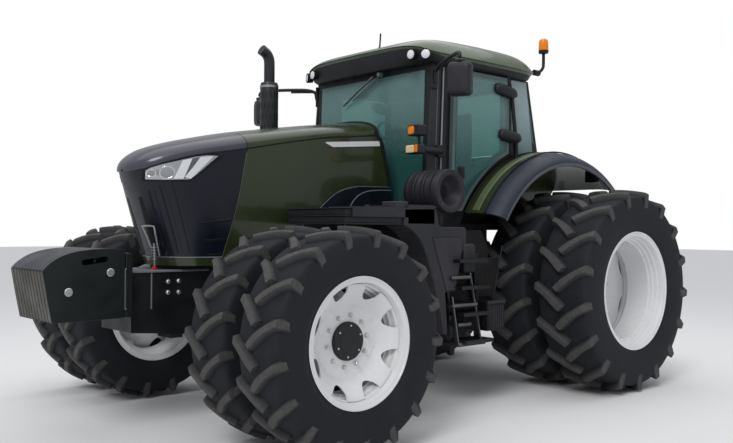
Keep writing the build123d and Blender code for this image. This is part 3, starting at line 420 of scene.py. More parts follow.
def iron_finish(name, colour, shade):
    """Cast iron under thin paint: a pebbled skin, dull and uneven."""
    made, tree, shader = finish(name, colour, 0.42, coat=0.1, bright=0.35)
    clouds = spread(tree, noise(tree, 5, 6), 0.35, 0.7)
    tree.links.new(blend_colour(tree, clouds, colour, shade), shader.inputs["Base Color"])
    rough_by(tree, shader, clouds, 0.38, 0.62)
    bumped(tree, shader, noise(tree, 140, 5, rough=0.65), 0.5, 0.0012)
    return made


def steel_finish(name, colour=(0.52, 0.52, 0.53), rough=0.32):
    """Bare or plated steel: drawn streaks and dull spots."""
    made, tree, shader = finish(name, colour, rough, 1.0)
    streaks = spread(tree, noise(tree, 40, 5, stretch=(1, 1, 9)), 0.3, 0.7)
    dark = tuple(c * 0.62 for c in colour)
    tree.links.new(blend_colour(tree, streaks, colour, dark), shader.inputs["Base Color"])
    rough_by(tree, shader, streaks, rough * 0.8, rough * 1.5)
    bumped(tree, shader, streaks, 0.1, 0.0005)
    return made


# heights over which the glass's painted reflection turns from its dark lower tone to its pale upper tone
veil_low, veil_high = 2.20, 2.72


def glass_finish(name, upper, lower, tint, rough=0.02, veil=(0.42, 0.88)):
    """Safety glass: a see-through tint and a glossy veil, joined by how steeply it is seen. The veil's colour
    is
    a painted reflection: it goes from the darker lower tone to the paler upper one between the heights
    veil_low and veil_high."""
    made = bpy.data.materials.new(name)
    made.use_nodes = True
    tree = made.node_tree
    shader = tree.nodes["Principled BSDF"]
    low = height_share(tree, veil_low, veil_high)
    cloud = spread(tree, noise(tree, 1.9, 4), 0.35, 0.7, 0.85, 1.0)
    # painted reflection: the veil is darker low down and paler high up
    tree.links.new(blend_colour(tree, product(tree, low, cloud), upper, lower), shader.inputs["Base Color"])
    shader.inputs["Roughness"].default_value = rough
    shader.inputs["Specular IOR Level"].default_value = 0.6
    clear = tree.nodes.new("ShaderNodeBsdfTransparent")
    smear = spread(tree, noise(tree, 2.6, 5), 0.3, 0.75)
    pale = tuple(min(c * 1.12, 1) for c in tint)
    tree.links.new(blend_colour(tree, smear, tint, pale), clear.inputs["Color"])
    angle = tree.nodes.new("ShaderNodeLayerWeight")
    angle.inputs["Blend"].default_value = 0.28
    share = spread(tree, angle.outputs["Facing"], 0, 1, *veil)
    mix = tree.nodes.new("ShaderNodeMixShader")
    tree.links.new(share, mix.inputs["Fac"])
    tree.links.new(clear.outputs[0], mix.inputs[1])
    tree.links.new(shader.outputs[0], mix.inputs[2])
    tree.links.new(mix.outputs[0], tree.nodes["Material Output"].inputs["Surface"])
    return made


def woven(name, colour, shade):
    """Seat cloth: crossed fine waves for the weave, over a soft mottle."""
    made, tree, shader = finish(name, colour, 0.9)
    spot = tree.nodes.new("ShaderNodeTexCoord")
    heights = []
    for direction in ("X", "Z"):
        wave = tree.nodes.new("ShaderNodeTexWave")
        wave.bands_direction = direction
        wave.inputs["Scale"].default_value = 110
        wave.inputs["Distortion"].default_value = 0.6
        tree.links.new(spot.outputs["Object"], wave.inputs["Vector"])
        heights.append(wave.outputs["Fac"])
    weave = product(tree, heights[0], heights[1])
    tone = blend_colour(tree, spread(tree, noise(tree, 24, 5), 0.3, 0.7), colour, shade)
    tree.links.new(tone, shader.inputs["Base Color"])
    shader.inputs["Sheen Weight"].default_value = 0.25
    bumped(tree, shader, weave, 0.5, 0.0015)
    return made


rubber = tyre_finish("tyre_rubber")
rim_white = painted("rim_white_enamel", (0.80, 0.805, 0.81), (0.73, 0.735, 0.74), 0.30, 0.25, dust=0.12)
green = painted("olive_green_enamel", (0.026, 0.039, 0.013), (0.022, 0.033, 0.011), 0.24, 0.45, dust=0.05)
# painted highlight: a lighter copy of the green for the band where the fender's crown catches the light
green_painted_highlight = painted("olive_green_painted_highlight", (0.105, 0.135, 0.070), (0.085, 0.115, 0.055), 0.3, 0.3, dust=0.05)
roof_green = painted("roof_green", (0.066, 0.094, 0.050), (0.056, 0.082, 0.042), 0.28, 0.45, dust=0.0)
nose_black = painted(
    "nose_black_gloss", (0.0040, 0.0055, 0.0135), (0.0052, 0.0068, 0.0155), 0.30, 0.08, dust=0.0,
)
# painted reflection: the cap is a lighter grey than the flanks, as if the sky were mirrored on its dark gloss
nose_cap_painted_reflection = painted("nose_cap_painted_reflection", (0.042, 0.043, 0.060), (0.055, 0.056, 0.075), 0.26, 0.4, dust=0.0)
# dark moulding for bezels, inlets and joints; on the nose it also serves as painted shade in the grooves and
# air slots
black_and_groove_shade = moulded("black_and_groove_shade", (0.0025, 0.003, 0.005), (0.004, 0.005, 0.007), 0.6, 400, 0.0002, 0.0)
# painted highlight: lighter lips along the air slots' edges
vent_lip_painted_highlight = painted("vent_lip_painted_highlight", (0.030, 0.033, 0.050), (0.024, 0.027, 0.042), 0.3, 0.3, dust=0.0)
# painted highlight: a pale line where the lid's edge by a seam catches the light
seam_painted_highlight = painted("seam_painted_highlight", (0.16, 0.18, 0.11), (0.12, 0.14, 0.085), 0.4, 0.2, dust=0.0)
panel_navy = painted("side_panel_dark", (0.0035, 0.006, 0.011), (0.005, 0.0085, 0.014), 0.34, 0.15, dust=0.05)
trim_grey = painted("fender_grey", (0.016, 0.021, 0.035), (0.021, 0.027, 0.042), 0.46, 0.05, dust=0.05)
flare_light = painted("flare_edge_grey", (0.115, 0.125, 0.14), (0.095, 0.105, 0.12), 0.45, 0.1, dust=0.1)
black_paint = painted("black_satin", (0.0055, 0.006, 0.0075), (0.009, 0.0095, 0.011), 0.42, 0.08, dust=0.10)
exhaust_grey = painted("exhaust_grey", (0.014, 0.015, 0.018), (0.022, 0.023, 0.026), 0.35, 0.15, dust=0.1)
# painted highlight: pale lines and plates on the top and corner edges of carrier, ballast bracket and ladder;
# also on the bracket's two bolt heads
edge_highlight_grey = painted("carrier_edge_painted_highlight", (0.20, 0.21, 0.235), (0.15, 0.16, 0.18), 0.4, 0.1, dust=0.1)
# painted highlight: pale lines where raised edges, ribs and rims catch the light
edge_painted_highlight = painted("edge_painted_highlight_pale", (0.28, 0.29, 0.31), (0.22, 0.23, 0.25), 0.4, 0.2, dust=0.05)
stripe_white = painted("stripe_white", (0.72, 0.73, 0.74), (0.66, 0.67, 0.68), 0.35, 0.2, dust=0.05)
cover_grey = moulded("cover_grey", (0.024, 0.025, 0.031), (0.032, 0.032, 0.039), 0.55, 300, 0.0004, 0.1)
cover_dark = moulded("cover_dark", (0.011, 0.013, 0.016), (0.016, 0.018, 0.021), 0.5, 300, 0.0004, 0.1)
cover_light = moulded("cover_light", (0.032, 0.032, 0.039), (0.042, 0.042, 0.050), 0.55, 300, 0.0004, 0.1)
tread_grey = moulded("tread_grey", (0.14, 0.14, 0.145), (0.10, 0.10, 0.105), 0.6, 200, 0.0006, 0.2)
cast = iron_finish("cast_dark_grey", (0.005, 0.007, 0.0085), (0.010, 0.012, 0.014))
iron = iron_finish("ballast_paint", (0.0042, 0.0080, 0.0085), (0.0065, 0.0115, 0.012))
# browner copy of the ballast paint for the weights' front faces
iron_brown_front = iron_finish("ballast_brown_front", (0.060, 0.055, 0.042), (0.038, 0.036, 0.029))
# painted highlight: paler grey copy of the ballast paint for the weights' lit tops
iron_painted_highlight = iron_finish("ballast_top_painted_highlight", (0.075, 0.078, 0.090), (0.055, 0.058, 0.068))
steel = steel_finish("zinc_steel")
zinc_pale = steel_finish("zinc_bolts", (0.80, 0.80, 0.79), 0.35)
plastic = moulded("black_moulding", (0.010, 0.0105, 0.0135), (0.017, 0.018, 0.022), 0.5, dust=0.15)
plastic_pale = moulded("grey_moulding", (0.018, 0.018, 0.024), (0.026, 0.026, 0.033), 0.5, dust=0.15)
seal = moulded("rubber_seal", (0.006, 0.006, 0.0068), (0.010, 0.010, 0.011), 0.6, 400, 0.0003, 0.1)
cab_lining = moulded("cab_lining", (0.16, 0.175, 0.18), (0.20, 0.215, 0.22), 0.6, 320)
cloth = woven("seat_cloth", (0.09, 0.11, 0.115), (0.13, 0.15, 0.155))
# both glass finishes carry a painted reflection, paler higher up
glass = glass_finish("teal_glass", (0.20, 0.315, 0.315), (0.022, 0.120, 0.108), (0.66, 0.90, 0.86))
pane_edge = glass_finish(
    "pane_edge", (0.36, 0.46, 0.48), (0.10, 0.20, 0.195), (0.80, 0.92, 0.92), 0.05, (0.72, 0.95),
)
frame_teal = painted("frame_teal", (0.085, 0.115, 0.120), (0.065, 0.092, 0.097), 0.15, 0.3, dust=0.0)
mirror_chrome = steel_finish("lamp_reflector", (0.86, 0.87, 0.88), 0.12)
lamp_silver = steel_finish("lamp_silver", (0.62, 0.64, 0.67), 0.28)
lamp_grey = moulded("lamp_grey", (0.13, 0.14, 0.16), (0.10, 0.11, 0.13), 0.3, 90, 0.0003, 0.0)
lens_white = moulded("lamp_white", (0.80, 0.82, 0.84), (0.72, 0.74, 0.77), 0.2, 90, 0.0004, 0.0)
lens_grey = moulded("lamp_lens_grey", (0.34, 0.36, 0.38), (0.22, 0.235, 0.25), 0.15, 60, 0.0006, 0.0)
lens_cream = moulded("lamp_cream", (0.78, 0.62, 0.38), (0.70, 0.54, 0.30), 0.2, 90, 0.0005, 0.0)
lens_amber = moulded("lamp_amber", (0.85, 0.24, 0.01), (0.70, 0.16, 0.005), 0.18, 90, 0.0006, 0.0)
lens_red = moulded("lamp_red", (0.55, 0.015, 0.01), (0.40, 0.01, 0.008), 0.18, 90, 0.0006, 0.0)

cad_finish = {
    "body_green": green, "nose_dark": nose_black, "cast_grey": cast, "ballast_iron": iron, "steel": steel,
    "link_black": black_paint, "glass_tint": glass, "cab_black": black_paint, "plastic_dark": plastic,
    "cab_inside": cab_lining, "seat_fabric": cloth, "tyre_rubber": rubber, "rim_white": rim_white,
    "lens_amber": lens_amber, "lamp_glass": lens_white,
}
node_finish = {
    "engine_side_panels": panel_navy, "door_left": frame_teal, "door_right": frame_teal, "side_tanks": seal,
    "steps": black_paint, "platform_left": cover_grey, "engine": seal, "transmission": seal,
}
slot_of = {sub["node"]: sub["material_slot"] for sub in frame["record"]["subparts"]}
for node_name, node in cad.items():
    chosen = node_finish.get(node_name, cad_finish[slot_of[node_name]])
    node.data.materials.clear()
    node.data.materials.append(chosen)


# ---------------------------------------------------------------- wheels
def wheel_facts(place, width, flange_r, rim_w, lug, lug_w):
    """One axle's wheel sizes, and its places read from the frame's tyre box on the left side: flange radius,
    rim width, and the lug's height and width."""
    low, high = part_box(f"{place}_tyres_left")
    return {
        "place": place, "radius": (high[2] - low[2]) / 2, "y": (low[1] + high[1]) / 2,
        "z": (low[2] + high[2]) / 2, "inner": low[0] + width / 2, "outer": high[0] - width / 2,
        "width": width, "flange_r": flange_r, "rim_w": rim_w, "lug": lug, "lug_w": lug_w,
    }


front = wheel_facts("front", 0.440, 0.445, 0.372, 0.042, 0.050)
rear = wheel_facts("rear", 0.530, 0.560, 0.477, 0.050, 0.060)
lug_count = 17
frame_slant, frame_tread = 0.7, 0.47  # the frame's own lugs: lag, and half tread as a share of width


def carcass(w, x_mid):
    """Tyre body: a corner-cut section of (x, r) points, bead to crown and back, turned about the axle."""
    half, tall = w["width"] / 2, w["radius"] - w["flange_r"]
    bead, floor = w["rim_w"] / 2 - 0.0125, w["radius"] - w["lug"]
    right = [
        (bead - 0.012, w["flange_r"] - 0.03), (bead, w["flange_r"] - 0.002),
        (bead + 0.012, w["flange_r"] + 0.012),
        (bead + 0.020, w["flange_r"] + 0.030), (half * 0.955, w["flange_r"] + tall * 0.16),
        (half * 0.995, w["flange_r"] + tall * 0.36), (half * 1.0, w["flange_r"] + tall * 0.52),
        (half * 0.985, w["flange_r"] + tall * 0.66), (half * 0.95, floor - 0.036),
        (half * 0.86, floor - 0.017),
        (half * 0.55, floor - 0.006), (0, floor),
    ]
    left = [(-x, r) for x, r in right[::-1]]
    section = corner_cut(right + left[1:], 2)
    section = np.concatenate([
        section, [(-bead + 0.02, w["flange_r"] - 0.035), (bead - 0.02, w["flange_r"] - 0.035)],
    ])
    return turned(section, (x_mid, w["y"], w["z"]), steps=144)


def lug_row(w, x_mid, side, start):
    """One side's row of lugs. Each is a grid: stations from the tyre's middle out over the shoulder, by six
    points across. Its line drops back round the tyre as s = b (0.92 a - 0.22 a^2), where a runs from 0 at
    the middle to 1 at the shoulder and b is the half tread, so that the inner end leads."""
    half, tall = w["width"] / 2, w["radius"] - w["flange_r"]
    tread, lug, radius = half * 0.95, w["lug"], w["radius"]
    a = np.array([-0.13, -0.10, 0.04, 0.2, 0.38, 0.55, 0.72, 0.88, 1.0, 1.045, 1.04])
    crown = 0.020 * np.clip(a, 0, 1.1) ** 2
    x_top = a * tread
    r_top = radius - crown
    r_low = radius - lug - crown - 0.006
    x_low = x_top.copy()
    r_top[0], r_low[0] = r_low[1] + 0.002, r_low[1]
    x_low[-3:] = np.array([0.95, 0.97, 0.985]) * half
    r_low[-3:] = radius - lug - np.array([0.030, 0.055, tall * 0.36])
    x_top[-1], r_top[-1] = half * 1.0, radius - lug - tall * 0.27
    r_top[-2] -= 0.007
    lag = tread * (0.92 * a - 0.22 * a * a) / radius
    wide = np.interp(a, [-0.13, 0.1, 0.6, 1.05], [0.046, 0.054, 0.05, 0.056]) * w["width"] / 0.44
    lean = np.interp(a, [-0.1, 1], [0.66, 0.9])
    across = np.array([-0.92, -0.52, -0.44, 0.44, 0.52, 0.92])
    rise = np.array([0, 0.9, 1, 1, 0.9, 0])
    x = x_low[:, None] + (x_top - x_low)[:, None] * rise
    r = r_low[:, None] + (r_top - r_low)[:, None] * rise
    shift = across * wide[:, None]
    x = x + shift * (1 - lean ** 2)[:, None] ** 0.5 * np.clip(1.2 - a, 0, 1)[:, None]
    turn = start + np.arange(lug_count)[:, None, None] * tau / lug_count
    angle = turn - lag[None, :, None] + (shift * lean[:, None])[None] / radius
    points = np.empty((*angle.shape, 3))
    points[..., 0] = x_mid + side * np.minimum(x, half - 0.001)
    points[..., 1] = w["y"] + r * np.cos(angle)
    points[..., 2] = w["z"] + r * np.sin(angle)
    one = grid_quads(len(a), 6, False, True)
    cap = np.array([[0, 1, 4, 5], [1, 2, 3, 4]])
    one = np.concatenate([one, cap, cap + 6 * (len(a) - 1)])
    faces = (one[None] + (np.arange(lug_count) * len(a) * 6)[:, None, None]).reshape(-1, 4).tolist()
    worn = np.broadcast_to(np.array([0, 0.75, 1, 1, 0.75, 0]), angle.shape).reshape(-1).copy()
    return (points.reshape(-1, 3), faces), worn


def tyre_pair(w, side):
    """Both tyres of one corner: carcasses and their two rows of lugs half a pitch apart."""
    shapes, weights = [], []
    for x_mid in (w["inner"], w["outer"]):
        body = carcass(w, x_mid)
        shapes.append(body)
        weights.append(np.zeros(len(body[0])))
        # the first lug's inner end is at the same angle as that of the frame's own first lug
        reach = (frame_slant * frame_tread * w["width"] + w["lug_w"]) / 2
        first = 2 * asin(reach / w["radius"]) - pi / 2 - w["lug_w"] / 2 / w["radius"]
        for row, start in ((1, first), (-1, first + pi / lug_count)):
            lugs, worn = lug_row(w, x_mid, row, start)
            shapes.append(lugs)
            weights.append(worn)
    shape = joined(*shapes)
    shape = shape if side == "left" else mirrored(shape)
    name = f"{w['place']}_tyres_{side}"
    piece(f"tread_{name}", shape, rubber, f"wheels_{w['place']}_{side}", 40,
          np.concatenate(weights), stands_for=(name,))


def barrel(w, x_mid, wall=0.010):
    """Rim barrel: flange, bead seat, hump and well, given as (x, r) and drawn in by wall for its inside."""
    half, f = w["rim_w"] / 2, w["flange_r"]
    well = f - 0.078
    skin = [
        (-half, f + 0.004), (-half + 0.006, f), (-half + 0.008, f - 0.034), (-half + 0.055, f - 0.040),
        (-half + 0.075, f - 0.060), (-half + 0.10, well), (half - 0.150, well), (half - 0.145, well + 0.014),
        (half - 0.112, well + 0.016), (half - 0.105, f - 0.050), (half - 0.070, f - 0.047),
        (half - 0.062, f - 0.038), (half - 0.022, f - 0.033), (half - 0.010, f - 0.028),
        (half - 0.006, f), (half, f + 0.004),
    ]
    inside = [(x, r - wall) for x, r in skin[::-1]]
    inside[0] = (half + 0.001, f - wall * 0.7)
    inside[1] = (half - 0.004, f - wall)
    inside[-1] = (-half - 0.001, f - wall * 0.7)
    return turned(skin + inside, (x_mid, w["y"], w["z"]), steps=144)


disc_t, disc_bore, disc_steps = 0.014, 0.08, 256


def scalloped_disc(w, x_disc, rise, depth, lobes=8):
    """Wheel disc: rings between its bore and an edge that dips between the lobes, so hand holes stay open.
    Edge radius = r_out - d max(0, -cos(lobes t))^0.45, where d is depth as a share of the flange radius.
    The flat middle is at x_disc; from 0.53 of the flange outwards the plate climbs a cone, which ends rise
    further out, with a rolled ring at its foot."""
    out, foot = w["flange_r"] - 0.052, 0.53 * w["flange_r"]
    t = np.arange(disc_steps) * tau / disc_steps
    edge = out - depth * w["flange_r"] * np.clip(-np.cos(lobes * t), 0, 1) ** 0.45
    share = np.array([0, 0.2, 0.40, 0.47, 0.53, 0.60, 0.68, 0.78, 0.88, 0.96, 1.0])
    r = disc_bore + (edge[:, None] - disc_bore) * share[None]
    stations = [disc_bore, foot - 0.02, foot, foot + 0.012, foot + 0.03, out - 0.03, out]
    heights = [0, 0, 0.004, -0.002, 0.004, rise - 0.004, rise]
    face = np.empty((disc_steps, len(share), 3))
    face[..., 0] = x_disc + np.interp(r, stations, heights)
    face[..., 1] = w["y"] + r * np.cos(t)[:, None]
    face[..., 2] = w["z"] + r * np.sin(t)[:, None]
    back = face[:, ::-1] - (disc_t, 0, 0)
    return grid_shape(np.concatenate([face, back], 1), True, True)


def wheel_nuts(w, x_face, circle):
    """Ten nuts standing on the disc in a ring of radius circle."""
    one = hex_bolt((x_face, w["y"] + circle, w["z"]), (1, 0, 0), 0.026, 0.024)
    return round_x(one, (w["y"], w["z"]), 10, 0.15)


def rims(w, side, disc_inner, disc_outer, rise, depth, hub_r, cap):
    """Both rims of one corner with discs, the hub between them and the nuts. Each disc's flat middle stands
    disc_inner or disc_outer outside the middle of its own tyre; rise and depth shape both discs."""
    flip = (lambda shape: shape) if side == "left" else mirrored
    corner = f"{w['place']}_{side}"
    body = f"wheels_{corner}"
    spot = (0, w["y"], w["z"])
    inner_face, face = w["inner"] + disc_inner, w["outer"] + disc_outer
    discs = [scalloped_disc(w, x, rise, depth) for x in (inner_face, face)]
    both_rims = joined(barrel(w, w["inner"]), barrel(w, w["outer"]), *discs)
    hub = [
        (w["inner"] - 0.055, 0), (w["inner"] - 0.055, hub_r * 1.02), (w["inner"] + 0.05, hub_r),
        (face - 0.10, hub_r * 0.82), (face - 0.012, hub_r * 0.98), (face - 0.012, 0),
    ]
    lid = [
        (face - 0.01, 0), (face - 0.01, cap), (face + 0.016, cap), (face + 0.024, cap * 0.97),
        (face + 0.028, cap * 0.93), (face + 0.028, cap * 0.60), (face + 0.032, cap * 0.56), (face + 0.032, 0),
    ]
    bolt = hex_bolt((face + 0.027, w["y"] + cap * 0.80, w["z"]), (1, 0, 0), 0.011, 0.007)
    bolts = round_x(bolt, (w["y"], w["z"]), 6, 0.4)
    nuts = joined(*[wheel_nuts(w, x, cap * 1.33) for x in (face, inner_face)])
    hub_shape, lid_shape = turned(hub, spot, 0, 64, False), turned(lid, spot, 0, 96, False)
    old = (f"{w['place']}_rims_{side}",)
    piece(f"barrels_{corner}", flip(both_rims), rim_white, body, 30, stands_for=old)
    piece(f"hub_{corner}", flip(hub_shape), black_paint, body)
    piece(f"hub_cap_{corner}", flip(lid_shape), black_paint, body)
    piece(f"cap_bolts_{corner}", flip(bolts), zinc_pale, body)
    piece(f"wheel_nuts_{corner}", flip(nuts), zinc_pale, body)


front_rims = {
    "disc_inner": 0.02, "disc_outer": 0.030, "rise": 0.105, "depth": 0.20, "hub_r": 0.138, "cap": 0.133,
}
rear_rims = {
    "disc_inner": 0.04, "disc_outer": -0.235, "rise": 0.02, "depth": 0.05, "hub_r": 0.170, "cap": 0.160,
}
for wheel_side in ("left", "right"):
    tyre_pair(front, wheel_side)
    tyre_pair(rear, wheel_side)
    rims(front, wheel_side, **front_rims)
    rims(rear, wheel_side, **rear_rims)


# ---------------------------------------------------------------- hood and nose
# Here y counts from the front axle at axle_y. Tables are short rows of (station, value).
axle_y = -1.58
side_low = 1.265  # height of the hood's lower edge
nose_tip = -0.800  # foremost point of the nose, level with its crease
rise_share = np.linspace(0, 1, 33)
# columns: height, y of the nose's front at that height, and the length over which it opens to full width
tip_height = 1.25 + 0.795 * rise_share
tip_front = -0.530 - 0.270 * rise_share
tip_reach = 0.49 + 0.12 * rise_share + 0.23 * rise_share ** 2
tip_rows = np.stack([tip_height, tip_front, tip_reach], 1)
# height of the crease between side and top, along y
crease_rows = np.array([
    [-0.90, 1.955], [-0.793, 1.972], [-0.712, 2.003], [-0.597, 2.046], [-0.392, 2.108],
    [-0.203, 2.140], [0.05, 2.180], [0.45, 2.262], [0.90, 2.338], [1.62, 2.412],
])
# height of the middle line of the top, along y
top_rows = np.array([
    [-0.90, 2.050], [-0.76, 2.115], [-0.45, 2.225], [0.05, 2.337], [0.8, 2.455], [1.62, 2.562],
])
# half-widths at the crease and at the foot, along y
crease_w_rows = np.array([[0.05, 0.437], [1.62, 0.455]])
foot_w_rows = np.array([[0.05, 0.425], [1.62, 0.445]])
# the wavy lower edge of the lid over the side panel, and the seam between nose and lid, as (y, z)
wave = np.array([
    [0.33, 1.265], [0.52, 1.48], [0.78, 1.70], [0.95, 1.84], [1.08, 1.895], [1.23, 1.92], [1.62, 1.925],
    [1.9, 1.925],
])
seam_rows = np.array([
    [-0.185, 1.24], [-0.160, 1.32], [-0.128, 1.428], [-0.057, 1.647], [-0.008, 1.844], [0.036, 2.067],
    [0.061, 2.184],
])
seam_at_top = 0.06
cap_reach = 0.85  # length over which the top opens to its full width


def along(rows, x, column=1):
    """Straight-line reading of one column of a short table."""
    return np.interp(x, rows[:, 0], rows[:, column])


def smooth_along(rows, x):
    """A table read with its corners rounded: the mean of five readings a short way apart."""
    return sum(along(rows, x + d) for d in (-0.14, -0.07, 0, 0.07, 0.14)) / 5


def nose_share(y, tip, reach):
    """How far the nose has opened to its full width: (1 - (1 - q)^2.4)^(1/2.4), q the share of its length."""
    q = np.clip((y - tip) / reach, 0, 1)
    return np.clip(1 - (1 - q) ** 2.4, 0, 1) ** (1 / 2.4)


def side_x(y, z):
    """Half-width of hood and nose at (y, z), y from the front axle: foot and crease widths blended by
    height, times the nose's opening, with a faint swell between the two."""
    share = np.clip((z - side_low) / (smooth_along(crease_rows, y) - side_low), 0, 1)
    wide = along(foot_w_rows, y) * (1 - share) + along(crease_w_rows, y) * share
    swell = 0.010 * np.sin(pi * share)
    return (wide + swell) * nose_share(y, along(tip_rows, z), along(tip_rows, z, 2))


def on_side(y, z, lift=0.0):
    """Points of the hood's left side at (y, z), moved out along the surface's normal by lift."""
    y, z = np.broadcast_arrays(np.asarray(y, float), np.asarray(z, float))
    step = 0.004
    x = side_x(y, z)
    slope_y = (side_x(y + step, z) - side_x(y - step, z)) / (2 * step)
    slope_z = (side_x(y, z + step) - side_x(y, z - step)) / (2 * step)
    length = np.sqrt(1 + slope_y ** 2 + slope_z ** 2)
    out = np.stack([1 / length, -slope_y / length, -slope_z / length], -1)
    return np.stack([x, y + axle_y, z], -1) + out * lift


def side_patch(y, low, high, lift, sink=0.004, rows=6):
    """A thin closed plate following the hood's left side: stations y, between the heights low and high."""
    y = np.asarray(y, float)
    low, high = np.broadcast_to(low, y.shape), np.broadcast_to(high, y.shape)
    t = np.linspace(0, 1, rows)[None]
    z = low[:, None] + (high - low)[:, None] * t
    yy = np.broadcast_to(y[:, None], z.shape)
    outer, inner = on_side(yy, z, lift), on_side(yy, z, -sink)
    return closed_sheet(outer, inner)


def closed_sheet(outer, inner):
    """Two matching grids of points joined round their rims into one closed skin."""
    rows, cols = outer.shape[:2]
    points = np.concatenate([outer.reshape(-1, 3), inner.reshape(-1, 3)])
    quads = grid_quads(rows, cols)
    count = rows * cols
    k = np.arange(count).reshape(rows, cols)
    rim = np.concatenate([k[0, :], k[1:, -1], k[-1, -2::-1], k[-2:0:-1, 0]])
    after = np.roll(rim, -1)
    sides = np.stack([rim, rim + count, after + count, after], -1)
    return points, quads.tolist() + (quads[:, ::-1] + count).tolist() + sides.tolist()


def side_line(points, width, lift, sink=0.002):
    """A narrow raised line over the hood's left side along (y, z) points, width measured across it."""
    p = corner_cut(points, 3)
    run = np.gradient(p, axis=0)
    run /= np.linalg.norm(run, axis=1)[:, None]
    across = np.stack([-run[:, 1], run[:, 0]], 1) * width / 2
    edge = [p + across * k for k in (-1, 1)]
    outer = np.stack([on_side(e[:, 0], e[:, 1], lift) for e in edge], 1)
    inner = np.stack([on_side(e[:, 0], e[:, 1], -sink) for e in edge], 1)
    return closed_sheet(outer, inner)


def top_point(y, turn, drop=0.0):
    """Hood top at station y and turn 0..pi from left to right: a superellipse standing on the crease,
    x = w cos^0.8, z = crease + rise sin^0.8, drawn in by drop."""
    crease, top = smooth_along(crease_rows, y), smooth_along(top_rows, y)
    w = (along(crease_w_rows, y) - 0.006) * nose_share(y, nose_tip, cap_reach) - drop
    c, s = np.cos(turn), np.sin(turn)
    x = np.clip(w, 0.004, 1) * np.sign(c) * np.abs(c) ** 0.8
    rise = np.maximum(top - crease, 0.01) * np.maximum(nose_share(y, nose_tip - 0.001, 0.24), 0.06)
    z = crease + 0.004 - drop + rise * np.abs(s) ** 0.8
    return np.stack([x, y + axle_y + 0 * x, z], -1)


def hood_top(y):
    """The hood's top over stations y as a closed skin ten millimetres thick."""
    turn = np.linspace(0, pi, 49)
    yy, tt = np.meshgrid(y, turn, indexing="ij")
    return closed_sheet(top_point(yy, tt), top_point(yy, tt, 0.010))


def seam_y(z):
    """The seam between nose and lid, leaning forward below the crease."""
    return np.interp(z, seam_rows[:, 1], seam_rows[:, 0])


def rear_y(z):
    """The lid's rear edge, leaning back below its top."""
    return np.interp(z, [1.80, 2.02, 2.30, 2.46], [1.612, 1.585, 1.515, 1.452])


def lid_side(lift=0.0, sink=0.010):
    """The lid's left side: stations from seam to rear edge, rows from the wave up to the crease."""
    s = np.linspace(0, 1, 72)[:, None]
    t = np.linspace(0, 1, 26)[None]
    y_mid = seam_y(1.8) + 0.004 + (rear_y(2.1) - seam_y(1.8)) * s
    low = np.interp(y_mid, wave[:, 0], wave[:, 1]) + 0.003
    high = smooth_along(crease_rows, y_mid) - 0.004
    z = low + (high - low) * t
    y = (seam_y(z) + 0.004) * (1 - s) + rear_y(z) * s
    high = smooth_along(crease_rows, y) - 0.004
    z = np.interp(y, wave[:, 0], wave[:, 1]) * (1 - t) + high * t
    return closed_sheet(on_side(y, z, lift), on_side(y, z, -sink))


def nose_skin(low, high, rows, out=0.0, wall=0.012):
    """A skin round the nose from seam to seam, between the heights low and high (None for the crease), stood
    off by out. Across a row the turn p goes from the middle line (0) through y = tip + reach (1 - cos p) to
    full width at 0.75 and then straight on to the seam at 1."""
    turn = np.concatenate([np.linspace(0.0, 0.75, 44), np.linspace(0.79, 1, 8)])[:, None]
    t = np.linspace(0, 1, rows)[None]
    z = low + ((2.0 if high is None else high) - low) * t + 0 * turn
    for _ in range(4):
        tip, reach = along(tip_rows, z), along(tip_rows, z, 2)
        bow = tip + reach * (1 - np.cos(np.minimum(turn / 0.75, 1) * pi / 2))
        last = seam_y(z) - 0.003
        full = np.minimum(tip + reach, last - 0.020)
        straight = full + (last - full) * (turn - 0.75) / 0.25
        y = np.where(turn > 0.75, straight, np.minimum(bow, full))
        top = smooth_along(crease_rows, y) - 0.004 if high is None else high
        z = low + (top - low) * t + 0 * turn
    share = nose_share(y, along(tip_rows, z), along(tip_rows, z, 2))
    left = np.stack([side_x(y, z) + out * share, y + axle_y - out * (1 - share), z], -1)
    inner = left.copy()
    inner[..., 0] = np.maximum(left[..., 0] - wall * share, 0)
    inner[..., 1] = left[..., 1] + wall * (1 - share)
    flip = np.array([-1, 1, 1])
    outer = np.concatenate([(left * flip)[:0:-1], left])
    inner = np.concatenate([(inner * flip)[:0:-1], inner])
    return closed_sheet(outer, inner)


nose_stations = nose_tip + cap_reach * (1 - np.cos(np.linspace(0.02, 1, 40) * pi / 2))
nose_stations = np.append(nose_stations[nose_stations < seam_at_top - 0.01], seam_at_top - 0.003)
piece("nose_flanks", nose_skin(1.322, None, 26), nose_black, "hood", 50, stands_for=("nose",))
# the nose cap's lighter grey is a painted reflection on the dark top of the nose
piece("nose_cap", hood_top(nose_stations), nose_cap_painted_reflection, "hood", 50)
piece("nose_foot_band", nose_skin(1.252, 1.317, 5, 0.004), green, "hood", 50)
# pale line along the top of the green foot band: a painted highlight
piece("nose_foot_line", nose_skin(1.3165, 1.3225, 2, 0.007, 0.02), edge_painted_highlight, "hood", 50)
lid_stations = np.linspace(seam_at_top + 0.003, 1.455, 60)
lid = joined(hood_top(lid_stations), both(lid_side()))
arm_line = [(1.21, 2.425), (1.62, 2.394), (1.646, 2.42), (1.62, 2.446), (1.42, 2.505), (1.21, 2.505)]
arm = slab([(hy + axle_y, hz) for hy, hz in arm_line], 0.180, 0.204, 0, 0.003)
piece("hood_lid", joined(lid, both(arm)), green, "hood", 50, stands_for=("hood_panels",))

